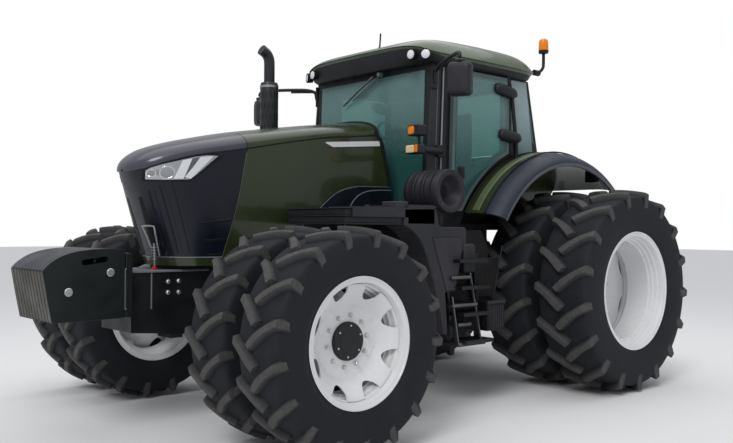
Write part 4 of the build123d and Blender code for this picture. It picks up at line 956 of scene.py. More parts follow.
# thin gasket round the lid's rear edge, over the top and down both sides
over = top_point(np.full(41, 1.458), np.linspace(0, pi, 41))
down_z = np.linspace(2.36, 1.94, 16)
down = on_side(rear_y(down_z) + 0.004, down_z)
edge_path = np.concatenate([down[::-1], over, down * (-1, 1, 1)])
strip = np.array([
    (-0.016, -0.012), (0.016, -0.012), (0.018, 0.006), (0.010, 0.012), (-0.010, 0.012), (-0.018, 0.006),
])
piece("hood_gasket", swept(edge_path, strip[:, ::-1]), seal, "hood", 40)

# seams, stripe and the fine line that follows the wave; the pale seam and wave lines are painted highlights
# along the edges
seam_z = np.linspace(1.27, 2.15, 12)
seam_line = side_line(np.stack([seam_y(seam_z) - 0.001, seam_z], 1), 0.0035, 0.0012)
piece("seam_lines", both(seam_line), seam_painted_highlight, "hood", 50)
crease_y = np.linspace(0.07, 1.42, 40)
crease_gap = side_line(np.stack([crease_y, smooth_along(crease_rows, crease_y) - 0.003], 1), 0.006, 0.0012)
piece("crease_shadow", both(crease_gap), seal, "hood", 50)
stripe_y = np.linspace(0.86, 1.49, 40)
stripe_top = 2.299 + (stripe_y - 0.913) * 0.0845
stripe_high = np.minimum(stripe_top, smooth_along(crease_rows, stripe_y) - 0.012)
stripe_low = stripe_high - 0.046 * np.clip((stripe_y - 0.84) / 0.1, 0.2, 1)
stripe = side_patch(stripe_y, stripe_low, stripe_high, 0.0012)
piece("side_stripe", both(stripe), stripe_white, "hood", 50)
stripe_frame = side_line(np.stack([stripe_y[1:], stripe_high[1:] - 0.052], 1), 0.005, 0.001)
piece("stripe_edge", both(stripe_frame), seal, "hood", 50)
wave_line = side_line([(y, z + 0.006) for y, z in wave[:7]], 0.004, 0.0015)
piece("wave_line", both(wave_line), edge_painted_highlight, "hood", 50)

# fixed dark panels under the wave, flush with the lid, with a raised inner arc whose pale line is a painted
# highlight
panel_y = np.linspace(0.34, 1.635, 60)
panel_top = np.interp(panel_y, wave[:, 0], wave[:, 1]) - 0.006
panel = side_patch(panel_y, 1.24, np.maximum(panel_top, 1.25), 0.0, 0.010, 16)
arc_in = [(1.04, 1.40), (1.07, 1.55), (1.12, 1.72), (1.20, 1.83), (1.32, 1.885), (1.48, 1.90), (1.63, 1.902)]
piece("side_panels", both(panel), panel_navy, "chassis", 50)
piece("panel_arc", both(side_line(arc_in, 0.007, 0.003)), edge_painted_highlight, "chassis", 50)


def ruled_patch(low_line, high_line, lift, sink=0.0, count=24, rows=8):
    """A thin closed plate on the hood's left side between two (y, z) polylines, each read at equal shares of
    its own length, with straight rulings between them."""
    lines = []
    for line in (low_line, high_line):
        p = np.asarray(line, float)
        run = np.concatenate([[0], np.cumsum(np.linalg.norm(np.diff(p, axis=0), axis=1))])
        at = np.linspace(0, run[-1], count)
        lines.append(np.stack([np.interp(at, run, p[:, 0]), np.interp(at, run, p[:, 1])], 1))
    t = np.linspace(0, 1, rows)[None, :, None]
    flat = lines[0][:, None] * (1 - t) + lines[1][:, None] * t
    return closed_sheet(on_side(flat[..., 0], flat[..., 1], lift), on_side(flat[..., 0], flat[..., 1], -sink))


def side_disc(y, z, rings):
    """A round part lying on the hood's left side: rings of (radius, lift) from its rim to its middle."""
    rings = np.asarray(rings, float)
    t = np.arange(40) * tau / 40
    yy = y + rings[:, 0, None] * np.cos(t)[None]
    zz = z + rings[:, 0, None] * np.sin(t)[None]
    lifted = np.stack([on_side(yy[k], zz[k], rings[k, 1]) for k in range(len(rings))])
    return capped(lifted)


# nose front: slanting grooves drawn as dark lines of painted shade, lamp clusters, and air slots drawn as
# dark patches of painted shade with pale lips of painted highlight
grooves = [
    [(-0.552, 1.878), (-0.480, 1.619), (-0.404, 1.351)], [(-0.630, 1.871), (-0.552, 1.618), (-0.471, 1.350)],
    [(-0.680, 1.830), (-0.597, 1.562), (-0.525, 1.337)], [(-0.700, 1.780), (-0.628, 1.560), (-0.552, 1.337)],
]
# each groove is a flat dark line on the nose: painted shade in the crease
groove_lines = joined(*[side_line(line, 0.008, 0.0012) for line in grooves])
piece("nose_grooves", both(groove_lines), black_and_groove_shade, "hood", 50)
slats = [[(y + 0.022, z) for y, z in line] for line in grooves[:3]]
slat_lines = joined(*[side_line(line, 0.010, 0.004) for line in slats])
piece("nose_slats", both(slat_lines), nose_black, "hood", 30)
frame_low = [
    (-0.728, 1.985), (-0.722, 1.902), (-0.600, 1.896), (-0.430, 1.902), (-0.372, 1.938), (-0.262, 2.030),
    (-0.148, 2.108),
]
frame_high = [
    (-0.728, 1.986), (-0.700, 2.006), (-0.620, 2.040), (-0.392, 2.104), (-0.250, 2.122), (-0.147, 2.1085),
]
bezel = ruled_patch(frame_low, frame_high, 0.0025, 0.012, 40, 10)
piece("lamp_bezels", both(bezel), black_and_groove_shade, "hood", 40, stands_for=("headlamps",))
bowl_low = [
    (-0.712, 1.978), (-0.706, 1.914), (-0.600, 1.910), (-0.437, 1.917), (-0.398, 1.944), (-0.300, 2.030),
    (-0.208, 2.108),
]
bowl_high = [
    (-0.712, 1.979), (-0.690, 2.000), (-0.620, 2.028), (-0.398, 2.091), (-0.300, 2.108), (-0.207, 2.1085),
]
bowl = ruled_patch(bowl_low, bowl_high, 0.0045, 0.0, 40, 10)
piece("lamp_bowls", both(bowl), lamp_silver, "hood", 40)
bar_one = ruled_patch(
    [(-0.545, 1.919), (-0.479, 1.921)], [(-0.487, 2.060), (-0.416, 2.078)], 0.007, 0.0, 8, 6,
)
bar_two = ruled_patch(
    [(-0.470, 1.934), (-0.428, 1.921)], [(-0.350, 2.092), (-0.248, 2.104)], 0.007, 0.0, 8, 6,
)
piece("lamp_bars", both(joined(bar_one, bar_two)), lens_white, "hood", 50)
gap = ruled_patch([(-0.478, 1.920), (-0.468, 1.922)], [(-0.415, 2.078), (-0.358, 2.090)], 0.0055, 0.0, 6, 6)
piece("lamp_gap", both(gap), lamp_grey, "hood", 50)
big_spot, small_spot, mid_spot = (-0.588, 1.966), (-0.682, 1.958), (-0.640, 1.966)
big_rim = [(0.050, 0.003), (0.050, 0.0075), (0.047, 0.009), (0.043, 0.0075), (0.041, 0.006)]
small_rim = [(0.028, 0.003), (0.028, 0.0065), (0.025, 0.008), (0.022, 0.0065), (0.021, 0.005)]
lamp_rings = joined(side_disc(*big_spot, big_rim), side_disc(*small_spot, small_rim))
piece("lamp_rims", both(lamp_rings), mirror_chrome, "hood", 60)
big_glass = side_disc(
    *big_spot, [(0.041, 0.005), (0.041, 0.0065), (0.036, 0.008), (0.020, 0.010), (0.001, 0.0105)],
)
small_glass = side_disc(*small_spot, [(0.021, 0.004), (0.021, 0.0055), (0.016, 0.007), (0.001, 0.008)])
mid_glass = side_disc(*mid_spot, [(0.020, 0.003), (0.020, 0.0055), (0.015, 0.007), (0.001, 0.008)])
piece("lamp_lenses", both(joined(big_glass, small_glass, mid_glass)), lens_grey, "hood", 60)
# each air slot is a flat dark patch standing for the shade inside the opening, with a lighter lip as a
# painted highlight
slots, lips = [], []
vents = ((-0.347, -0.094, 1.587, 1.618), (-0.312, -0.135, 1.452, 1.465), (-0.284, -0.170, 1.338, 1.344))
for y0, y1, z0, z1 in vents:
    low_edge, high_edge = [(y0 + 0.004, z0 - 0.020), (y1, z1 - 0.020)], [(y0, z0), (y1, z1)]
    slots.append(ruled_patch(low_edge, high_edge, 0.0015, 0.0, 12, 3))
    lips.append(side_line([(y0, z0), ((y0 + y1) / 2, (z0 + z1) / 2), (y1, z1)], 0.0045, 0.005))
piece("vent_slots", both(joined(*slots)), black_and_groove_shade, "hood", 50)
piece("vent_lips", both(joined(*lips)), vent_lip_painted_highlight, "hood", 50)
# pale line along the lid's foot: a painted highlight
lid_foot = side_patch(np.linspace(-0.15, 0.36, 30), 1.272, 1.279, 0.002, 0.0, 3)
piece("lid_foot_line", both(lid_foot), seam_painted_highlight, "hood", 50)

# ---------------------------------------------------------------- ballast and front carrier
face_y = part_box("ballast")[0][1]
slab_count, slab_gap, ballast_half = 11, 0.006, 0.305
slab_t = (2 * ballast_half - (slab_count - 1) * slab_gap) / slab_count
slot_half, slot_r, slot_lean = 0.078, 0.021, 0.13  # grip slot: half its straight length, its radius, its lean
crown_points = [(face_y + y, z) for y, z in ((0.050, 1.290), (0.135, 1.345), (0.270, 1.382), (0.450, 1.394))]


def weight_plate(low, high, edge=0.003):
    """One weight: its side outline and the rounded grip slot through it. Both are read on the same rays
    from the slot's middle, as radius over angle, and carried from low to high along X with drawn-in rims."""
    middle = np.array([face_y + 0.385, 1.306])
    crown = corner_cut([(face_y + 0.007, 1.243), *crown_points, (face_y + 0.615, 1.384)], 3)
    foot = [(face_y + 0.615, 0.884), (face_y + 0.300, 0.877), (face_y + 0.075, 0.880)]
    rim = np.concatenate([crown, foot]) - middle
    t = np.linspace(0, pi, 14)
    bow = np.stack([slot_half + slot_r * np.sin(t), slot_r * np.cos(t)], 1)
    lean = np.array([[cos(slot_lean), sin(slot_lean)], [-sin(slot_lean), cos(slot_lean)]])
    slot = np.concatenate([bow, -bow]) @ lean
    corners = [np.arctan2(line[:, 1], line[:, 0]) for line in (rim, slot)]
    rays = np.sort(np.concatenate([*corners, np.linspace(-3.1, 3.1, 40)]))
    rays = rays[np.concatenate([[True], np.diff(rays) > 0.004])]
    loops = []
    for line in (rim, slot):
        ring = np.concatenate([line, line[:1]])
        fine = np.linspace(0, len(line), 6000, endpoint=False)
        px, py = (np.interp(fine, np.arange(len(ring)), ring[:, k]) for k in (0, 1))
        turn = np.arctan2(py, px)
        order = turn.argsort()
        reach = np.interp(rays, turn[order], np.hypot(px, py)[order], period=tau)
        loops.append(middle + reach[:, None] * np.stack([np.cos(rays), np.sin(rays)], 1))
    outer, inner = loops
    small = middle + (outer - middle) * (1 - edge / np.linalg.norm(outer - middle, axis=1)[:, None])
    stations = (
        (low, small), (low + edge, outer), (high - edge, outer), (high, small), (high, inner), (low, inner),
    )
    rings = np.array([np.column_stack([np.full(len(rays), x), ring]) for x, ring in stations])
    return grid_shape(rings, True, True)


one_weight = weight_plate(0, slab_t)
starts = [(k * (slab_t + slab_gap) - ballast_half, 0, 0) for k in range(slab_count)]
grip_bar = pipe(
    [(-ballast_half, face_y + 0.385, 1.304), (ballast_half - 0.01, face_y + 0.385, 1.304)], 0.010, 0, 16,
)
piece(
    "ballast_weights", copies(one_weight, starts), iron, "chassis", 28,
    stands_for=("ballast",),
)
piece("ballast_grip", grip_bar, iron, "chassis", 40)
core = block((-ballast_half + 0.01, face_y + 0.10, 0.90), (ballast_half - 0.01, face_y + 0.60, 1.26), 0.004)
piece("ballast_core", core, seal, "chassis")


def weight_skins(line, lift):
    """Thin skins on every weight along a (y, z) line, stood off by lift: browner paint on the front faces,
    and paler paint on the tops as a painted highlight.
    """
    p = np.asarray(line, float)
    run = np.gradient(p, axis=0)
    run /= np.linalg.norm(run, axis=1)[:, None]
    out = np.stack([run[:, 1], -run[:, 0]], 1)
    edges = np.array([0.003, slab_t - 0.003])
    rows = []
    for off in (lift, -0.001):
        q = p + out * off
        rows.append(np.stack([np.stack([np.full(len(q), e), q[:, 0], q[:, 1]], 1) for e in edges], 1))
    return copies(closed_sheet(rows[0], rows[1]), starts)


# browner front faces of the weights
brown_front_line = [(face_y + 0.0735, 0.888), (face_y + 0.040, 1.06), (face_y + 0.0085, 1.236)]
# paler tops of the weights: a painted highlight
lit_top = corner_cut([(face_y + 0.012, 1.2495), *crown_points, (face_y + 0.610, 1.3845)], 3)
piece("weight_fronts", weight_skins(brown_front_line[::-1], 0.0008), iron_brown_front, "chassis", 30)
piece("weight_tops", weight_skins(lit_top[::-1], 0.0008), iron_painted_highlight, "chassis", 30)
back_plate = block((-ballast_half, face_y + 0.621, 0.884), (ballast_half, face_y + 0.676, 1.358), 0.006)
piece("ballast_bracket", back_plate, iron, "chassis")
# pale line down the ballast bracket's edge: a painted highlight
edge_low = (ballast_half - 0.001, face_y + 0.612, 0.945)
edge_high = (ballast_half + 0.0015, face_y + 0.618, 1.245)
edge_line = block(edge_low, edge_high, 0.0006)
dots = [hex_bolt((ballast_half, face_y + 0.622, z), (1, 0, 0), 0.009, 0.005) for z in (0.948, 1.242)]
piece("bracket_line", both(joined(edge_line, *dots)), edge_highlight_grey, "chassis")
washer_line = ((-0.002, 0), (-0.002, 0.030), (0.009, 0.030), (0.012, 0.026), (0.012, 0))
washer = [(ballast_half + x, r) for x, r in washer_line]
washers = [turned(washer, (0, face_y + y, z), 0, 32, False) for y, z in ((0.19, 1.09), (0.50, 1.22))]
piece("ballast_bolts", both(joined(*washers)), zinc_pale, "chassis")

# carrier: a thin top plate whose pale grey is a painted highlight on the top edge, side bolts, and the hood
# catch standing on it
carrier_top = block((-0.262, -2.415, 1.206), (0.262, -1.76, 1.222), 0.003)
piece("carrier_plate", carrier_top, edge_highlight_grey, "chassis")
# pale line down the carrier's corner: a painted highlight
corner_line = both(block((0.252, -2.262, 0.93), (0.2535, -2.250, 1.205), 0.0006))
piece("carrier_corner", corner_line, edge_highlight_grey, "chassis")
bolt_spots = ((-2.115, 1.132), (-2.025, 1.135), (-2.117, 1.049), (-2.024, 1.048))
side_bolts = [hex_bolt((0.25, y, z), (1, 0, 0), 0.029, 0.016) for y, z in bolt_spots]
piece("carrier_bolts", both(joined(*side_bolts)), zinc_pale, "chassis")
stirrup = [
    (0.130, -2.195, 1.390), (0.075, -2.235, 1.545), (0.060, -2.240, 1.560), (0.230, -2.230, 1.560),
    (0.225, -2.222, 1.545), (0.215, -2.170, 1.330),
]
catch_stem = pipe([(0.155, -2.178, 1.225), (0.155, -2.185, 1.425)], 0.009, 0, 12)
coil = [(1.300, 0.010), (1.300, 0.026), (1.310, 0.026), (1.310, 0.010)]
coils = copies(turned(coil, (0.155, -2.182, 0), 2, 24), [(0, 0, 0.022 * k) for k in range(5)])
piece("hood_catch", joined(pipe(stirrup, 0.0075, 1, 10), catch_stem, coils), steel, "chassis")
catch_foot = [(1.222, 0), (1.222, 0.022), (1.234, 0.022), (1.240, 0.016), (1.250, 0.016), (1.250, 0)]
foot_shape = turned(catch_foot, (0.150, -2.178, 0), 2, 28, False)
piece("catch_foot", foot_shape, lens_red, "chassis")
tow_lugs = [block((x, -2.30, 0.78), (x + 0.04, -2.02, 0.86), 0.006) for x in (0.16, -0.20)]
piece("tow_lugs", joined(*tow_lugs), cast, "chassis")

# ---------------------------------------------------------------- fenders
arch_y, arch_z = 1.82, 0.95


def arch_band(profile, start=33, end=130, steps=96):
    """A closed (x, r) outline carried round the arch's axis between two angles in degrees from the front."""
    p = np.asarray(profile, float)
    t = pi - np.radians(np.linspace(start, end, steps))
    points = np.empty((steps, len(p), 3))
    points[..., 0] = p[:, 0]
    points[..., 1] = arch_y + p[:, 1] * np.cos(t)[:, None]
    points[..., 2] = arch_z + p[:, 1] * np.sin(t)[:, None]
    return capped(points)


shell_t, inner_x = 0.024, 0.3505
# crown of the fender across its width, as (x, radius), rounding down to the flare's outer edge
crown_line = corner_cut([
    (inner_x, 1.380), (0.86, 1.380), (1.00, 1.378), (1.12, 1.362), (1.195, 1.325), (1.232, 1.285),
    (1.239, 1.252),
], 3)
under_line = crown_line.copy()
under_line[:, 1] -= shell_t
under_line[:, 0] -= np.interp(crown_line[:, 0], [0.9, 1.24], [0, shell_t])
under_line[0, 0] += shell_t
split = int(np.searchsorted(crown_line[:, 0], 1.06))
inner_wall = [(inner_x + shell_t, 1.0), (inner_x, 1.0)]
green_band = np.concatenate([crown_line[: split + 1], under_line[: split + 1][::-1], inner_wall])
grey_band = np.concatenate([crown_line[split:], under_line[split:][::-1]])
piece(
    "fender_shells", both(arch_band(green_band)), green, "chassis", 40, stands_for=("fenders",),
)
piece("fender_flares", both(arch_band(grey_band)), trim_grey, "chassis", 40)
lip = [(1.212, 1.262), (1.238, 1.262), (1.2395, 1.245), (1.234, 1.232), (1.214, 1.236)]
piece("fender_lips", both(arch_band(lip)), flare_light, "chassis", 40)
bead = [(1.056, 1.3735), (1.068, 1.3735), (1.070, 1.384), (1.062, 1.3875), (1.054, 1.384)]
piece("fender_beads", both(arch_band(bead)), seal, "chassis", 40)
# the raised band in lighter green is a painted highlight on the fender's crown
rise = [(0.90, 1.376), (0.985, 1.376), (0.975, 1.389), (0.91, 1.389)]
piece("fender_ridges", both(arch_band(rise, 34, 129)), green_painted_highlight, "chassis", 30)
cab_bead = [(0.822, 1.376), (0.848, 1.376), (0.850, 1.392), (0.836, 1.398), (0.822, 1.392)]
piece("fender_seals", both(arch_band(cab_bead, 33, 112)), seal, "chassis", 40)
liner = [(0.352, 1.004), (0.366, 1.004), (0.366, 0.780), (0.352, 0.780)]
piece("fender_liners", both(arch_band(liner, 40, 125)), seal, "chassis", 40)
tail_box = block((1.02, 2.345, 2.045), (1.17, 2.395, 2.175), 0.010)
piece("tail_lamp_boxes", both(tail_box), plastic, "chassis")
tail_lens = block((1.03, 2.393, 2.055), (1.16, 2.405, 2.118), 0.004)
turn_lens = block((1.03, 2.393, 2.122), (1.16, 2.405, 2.166), 0.004)
piece("tail_lamp_lenses", both(tail_lens), lens_red, "chassis")
piece("turn_lamp_lenses", both(turn_lens), lens_amber, "chassis")

# ---------------------------------------------------------------- roof
roof_low, roof_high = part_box("roof")
roof_mid_y = (roof_low[1] + roof_high[1]) / 2
roof_a, roof_b = roof_high[0], (roof_high[1] - roof_low[1]) / 2
visor_foot, visor_top, visor_lift = 3.0505, 3.128, 0.094


def roof_rim(scale, steps=112):
    """Plan outline at a scale: a superellipse, x = a |cos t|^(1/4), y = b |sin t|^(1/4)."""
    t = np.arange(steps) * tau / steps
    c, s = np.cos(t), np.sin(t)
    x = roof_a * scale * np.sign(c) * np.abs(c) ** 0.25
    y = roof_mid_y + roof_b * scale * np.sign(s) * np.abs(s) ** 0.25
    return x, y


def rim_height(x, y):
    """Height at which the green shell meets the dark visor: level round the sides, higher at the front."""
    ahead = np.clip((0.34 - y) / 0.26, 0, 1) ** 1.3
    return visor_top + visor_lift * ahead * (1 - np.abs(x / roof_a) ** 5)


def crown_height(y):
    """Top of the roof along its middle, rising from the front, level over the cab, falling at the rear."""
    stations = [0.04, 0.25, 0.70, 1.15, 1.45, 1.65, 1.75]
    heights = [3.285, 3.306, 3.328, 3.329, 3.318, 3.292, 3.262]
    return sum(np.interp(y + d, stations, heights) for d in (-0.08, 0, 0.08)) / 3


def roof_shell():
    """Green shell: a lip, then rings from the rim, 6 mm up, to the middle; across them the height climbs from
    rim to crown by the share 1 - scale^11."""
    rows = []
    for scale, drop in ((0.90, -0.030), (0.965, -0.030), (0.985, -0.012), (0.985, 0.0)):
        x, y = roof_rim(scale)
        rows.append(np.stack([x, y, rim_height(x, y) + drop], -1))
    for scale in np.concatenate([1 - np.linspace(0, 0.55, 30) ** 2, np.linspace(0.66, 0.02, 12)]):
        x, y = roof_rim(scale)
        rim, crown = rim_height(x / scale, roof_mid_y + (y - roof_mid_y) / scale), crown_height(y)
        rows.append(np.stack([x, y, rim + 0.006 + (crown - rim - 0.006) * (1 - scale ** 11)], -1))
    return capped(rows)


def roof_visor():
    """Dark band under the shell, bulging at the front, with its underside closed."""
    rows = []
    for scale, level in ((0.86, 0.0), (0.925, 0.0), (0.955, 0.25), (0.972, 0.7), (0.976, 1.0), (0.86, 1.0)):
        x, y = roof_rim(scale)
        top = rim_height(x, y) - 0.004
        rows.append(np.stack([x, y, visor_foot + (top - visor_foot) * level], -1))
    return capped(rows)


piece("roof_shell", roof_shell(), roof_green, "chassis", 50, stands_for=("roof",))
piece("roof_visor", roof_visor(), plastic, "chassis", 50)
whip = pipe([(0, 0.317, 3.26), (0, 0.330, 3.38), (0, 0.337, 3.476)], 0.008, 1, 10)
whip_foot = [(3.285, 0), (3.285, 0.028), (3.318, 0.022), (3.335, 0.012), (3.335, 0)]
antenna = joined(whip, turned(whip_foot, (0, 0.320, 0), 2, 24, False))
piece("antenna_stub", antenna, plastic, "chassis")
lamp_r = 0.050


def round_lamp(spot, turn):
    """A work lamp facing forward at spot, turned outward by turn: bowl rim, and a domed lens of rings."""
    bowl = [
        (0.05, 0), (0.05, lamp_r * 0.9), (0.0, lamp_r), (-0.012, lamp_r), (-0.014, lamp_r * 0.9),
        (-0.004, lamp_r * 0.86), (-0.004, 0),
    ]
    glass_rings = [
        (-0.002, 0), (-0.002, lamp_r * 0.85), (-0.008, lamp_r * 0.8), (-0.014, lamp_r * 0.5), (-0.016, 0),
    ]
    parts = [turned(profile, (0, 0, 0), 1, 36, False) for profile in (bowl, glass_rings)]
    return [copies(turned_upright(part, turn), [spot]) for part in parts]


inner_lamp, outer_lamp = round_lamp((0.710, 0.052, 3.124), 0.10), round_lamp((0.850, 0.098, 3.115), 0.45)
lamp_rims = both(joined(inner_lamp[0], outer_lamp[0]))
lamp_lenses = both(joined(inner_lamp[1], outer_lamp[1]))
piece("roof_lamp_rims", lamp_rims, seal, "chassis", stands_for=("roof_lamps",))
piece("roof_lamp_lenses", lamp_lenses, lens_white, "chassis")

# beacon on a bent mast at the roof's rear corner
beacon_low, beacon_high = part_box("beacon")
bx = (beacon_low[0] + beacon_high[0]) / 2
by = beacon_high[1] - 0.055
mast_path = [(bx, 1.70, 3.150), (bx, 1.77, 3.158), (bx, by - 0.005, 3.215), (bx, by, 3.27), (bx, by, 3.376)]
foot_line = [(3.366, 0), (3.366, 0.030), (3.372, 0.050), (3.398, 0.052), (3.402, 0.046), (3.402, 0)]
dome_line = [
    (3.400, 0), (3.400, 0.050), (3.44, 0.0495), (3.485, 0.047), (3.508, 0.040), (3.520, 0.024),
    (3.524, 0.006), (3.524, 0),
]
clamp = turned([(1.690, 0), (1.690, 0.030), (1.765, 0.030), (1.765, 0)], (bx, 0, 3.152), 1, 24, False)
beacon_stand = joined(pipe(mast_path, 0.016, 3), turned(foot_line, (bx, by, 0), 2, 40, False), clamp)
piece("beacon_mast", beacon_stand, plastic, "chassis", stands_for=("beacon",))
piece("beacon_dome", turned(dome_line, (bx, by, 0), 2, 48, False), lens_amber, "chassis")

# ---------------------------------------------------------------- cab
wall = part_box("cab_frame")[1][0]
pillar_body = slab(
    [(0.105, 1.72), (0.265, 1.72), (0.320, 3.04), (0.215, 3.04)], wall - 0.004, wall + 0.010, 0, 0.005,
)
piece("pillar_covers", both(pillar_body), plastic_pale, "chassis")
# pale line down the pillar's edge: a painted highlight
pillar_edge = slab(
    [(0.300, 1.74), (0.314, 1.74), (0.365, 3.03), (0.351, 3.03)], wall + 0.004, wall + 0.0135, 0, 0.001,
)
piece("pillar_lines", both(pillar_edge), edge_painted_highlight, "chassis")
pillar_rib = slab(
    [(0.228, 1.74), (0.236, 1.74), (0.288, 3.03), (0.280, 3.03)], wall + 0.008, wall + 0.014, 0, 0.001,
)
piece("pillar_ribs", both(pillar_rib), flare_light, "chassis")
post_line = [
    (wall + 0.030, 1.258, 3.06), (wall + 0.050, 1.300, 2.90), (wall + 0.052, 1.345, 2.60),
    (wall + 0.050, 1.382, 2.35), (wall + 0.030, 1.395, 2.16),
]
piece("hinge_posts", both(pipe(post_line, 0.019, 2)), plastic, "chassis")
knob_line = [
    (-0.165, 0), (-0.163, 0.022), (-0.150, 0.044), (-0.115, 0.056), (-0.03, 0.060), (0.06, 0.058),
    (0.125, 0.050), (0.158, 0.030), (0.165, 0.010), (0.165, 0),
]
knob_points, knob_faces = turned(knob_line, (0, 0, 0), 1, 32, False)
knobs = []
for y, z, lean in ((1.195, 2.900, -0.12), (1.262, 2.462, -0.08)):
    lean_turn = np.array([[1, 0, 0], [0, cos(lean), -sin(lean)], [0, sin(lean), cos(lean)]])
    knobs.append((knob_points * (0.8, 1, 1) @ lean_turn.T + (wall + 0.062, y, z), knob_faces))
piece("hinge_knobs", both(joined(*knobs)), plastic, "chassis")
grip = [(0.870, 0.535, 2.03), (0.898, 0.535, 2.035), (0.898, 0.535, 2.115), (0.870, 0.535, 2.12)]
handle = joined(block((0.862, 0.52, 2.02), (0.880, 0.60, 2.13), 0.005), pipe(grip, 0.008, 2, 10))
piece("door_handle_left", handle, plastic, "door_left")
piece("door_handle_right", mirrored(handle), plastic, "door_right")
blade_path = [(0.10, 0.150, 3.012), (-0.12, 0.153, 2.900), (-0.35, 0.157, 2.775)]
blade_section = [(-0.006, -0.012), (0.006, -0.012), (0.004, 0.012), (-0.004, 0.012)]
wiper_arm = pipe([(0.195, 0.158, 3.020), (0.02, 0.150, 2.925), (-0.20, 0.152, 2.815)], 0.007, 1, 10)
wiper_hub = turned([(0.125, 0), (0.125, 0.020), (0.165, 0.026), (0.165, 0)], (0.195, 0, 3.020), 1, 20, False)
wiper = joined(wiper_arm, swept(blade_path, blade_section), wiper_hub)
piece("wiper", wiper, flare_light, "chassis")
visor_in = block((-0.60, 0.235, 2.86), (0.60, 0.245, 2.985), 0.003)
piece("sun_blind", visor_in, cab_lining, "chassis")

quarter = slab(
    [(1.415, 2.215), (1.715, 2.235), (1.590, 3.035), (1.345, 3.035)], wall + 0.0035, wall + 0.0075, 0, 0.001,
)
piece("quarter_panes", both(quarter), pane_edge, "chassis")

# seat: two crowned cushions with piped edges, on the carrier of the frame
cushion_low, cushion_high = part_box("seat_cushion")
back_low, back_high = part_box("seat_back")


def cushion(low, high, face_axis, bulge, dip, steps=28):
    """A stuffed pad between two corners. With f = (1 - |u|^6)(1 - |v|^6), where u and v run from -1 to 1
    across it, its half thickness is 0.35 + 0.65 f^0.35 of the full one, plus bulge f. Its face also has a
    dip along the middle and three sewn tucks, each a narrow bell curve times f."""
    low, high = np.asarray(low, float), np.asarray(high, float)
    keep = [k for k in range(3) if k != face_axis]
    u = np.linspace(-1, 1, steps)
    uu, vv = np.meshgrid(u, u, indexing="ij")
    middle, half = (low + high) / 2, (high - low) / 2
    sheets = []
    fill = (1 - np.abs(uu) ** 6) * (1 - np.abs(vv) ** 6)
    plump = half[face_axis] * (0.35 + 0.65 * fill ** 0.35) + bulge * fill
    cross_tuck = 0.010 * np.exp(-((vv - 0.12) / 0.035) ** 2)
    side_tucks = 0.008 * np.exp(-((np.abs(uu) - 0.62) / 0.03) ** 2)
    hollow = (dip * np.exp(-(uu / 0.42) ** 2) + cross_tuck + side_tucks) * fill
    for sign, depth in ((1, plump - hollow), (-1, plump)):
        sheet = np.empty((steps, steps, 3))
        sheet[..., keep[0]] = middle[keep[0]] + half[keep[0]] * uu
        sheet[..., keep[1]] = middle[keep[1]] + half[keep[1]] * vv
        sheet[..., face_axis] = middle[face_axis] + sign * depth
        sheets.append(sheet)
    return closed_sheet(sheets[0], sheets[1])


seat_pad = cushion(cushion_low, (cushion_high[0], cushion_high[1], cushion_high[2] - 0.004), 2, 0.004, 0.014)
back_pad = cushion((back_low[0], back_low[1] + 0.004, back_low[2]), back_high, 1, 0.004, -0.004)
back_pad = (back_pad[0] * (1, -1, 1) + (0, back_low[1] + back_high[1], 0), back_pad[1])
seat_made = piece("seat_pad", seat_pad, cloth, "chassis", 60, stands_for=("seat_cushion",))
back_made = piece("seat_back_pad", back_pad, cloth, "chassis", 60, stands_for=("seat_back",))


def piping(low, high, axis, level, inset=0.012):
    """A cord round the rim of a pad at one level along axis."""
    keep = [k for k in range(3) if k != axis]
    (u0, u1), (v0, v1) = [(low[k] + inset, high[k] - inset) for k in keep]
    loop = corner_cut([(u0, v0), (u1, v0), (u1, v1), (u0, v1)], 4, True)
    path = np.zeros((len(loop) + 1, 3))
    path[:, keep] = np.concatenate([loop, loop[:1]])
    path[:, axis] = level
    return swept(path, ring_section(0.005, 8))


seams = joined(piping(cushion_low, cushion_high, 2, (cushion_low[2] + cushion_high[2]) / 2 + 0.018),
               piping(back_low, back_high, 1, (back_low[1] + back_high[1]) / 2 - 0.016))
piece("seat_piping", seams, seal, "chassis")
arm_pads = [block((x - 0.035, 0.96, 2.31), (x + 0.035, 1.28, 2.355), 0.012) for x in (-0.31, 0.31)]
arm_stalks = [block((x - 0.015, 1.26, 2.12), (x + 0.015, 1.30, 2.345), 0.006) for x in (-0.30, 0.30)]
piece("arm_rests", joined(*arm_pads, *arm_stalks), plastic, "chassis")
screen = block((-0.52, 0.62, 2.42), (-0.36, 0.65, 2.56), 0.006)
screen_arm = pipe([(-0.44, 0.66, 2.48), (-0.46, 0.80, 2.40), (-0.46, 0.86, 2.20)], 0.012, 2)
piece("terminal", joined(screen, screen_arm), plastic, "chassis")
lever_stem = pipe([(-0.40, 1.02, 2.22), (-0.40, 1.00, 2.31)], 0.008, 0)
lever_line = [(2.30, 0), (2.30, 0.012), (2.325, 0.016), (2.34, 0.010), (2.342, 0)]
lever_head = turned(lever_line, (-0.40, 1.00, 0), 2, 16, False)
lever_spots = [(-0.03 * k, 0.05 * k, 0) for k in range(3)]
levers = joined(copies(lever_stem, lever_spots), copies(lever_head, lever_spots))
piece("levers", levers, plastic, "chassis")

# mirrors: shells with rounded faces, glass, arms and clamps
mx, my, mz = 1.435, -0.105, 2.792
mirror_toe = 0.40


def toed_in(shape):
    """The shape turned about the mirror's upright middle line, so that its face looks back and inwards."""
    return turned_upright(shape, mirror_toe, (mx, my, mz))


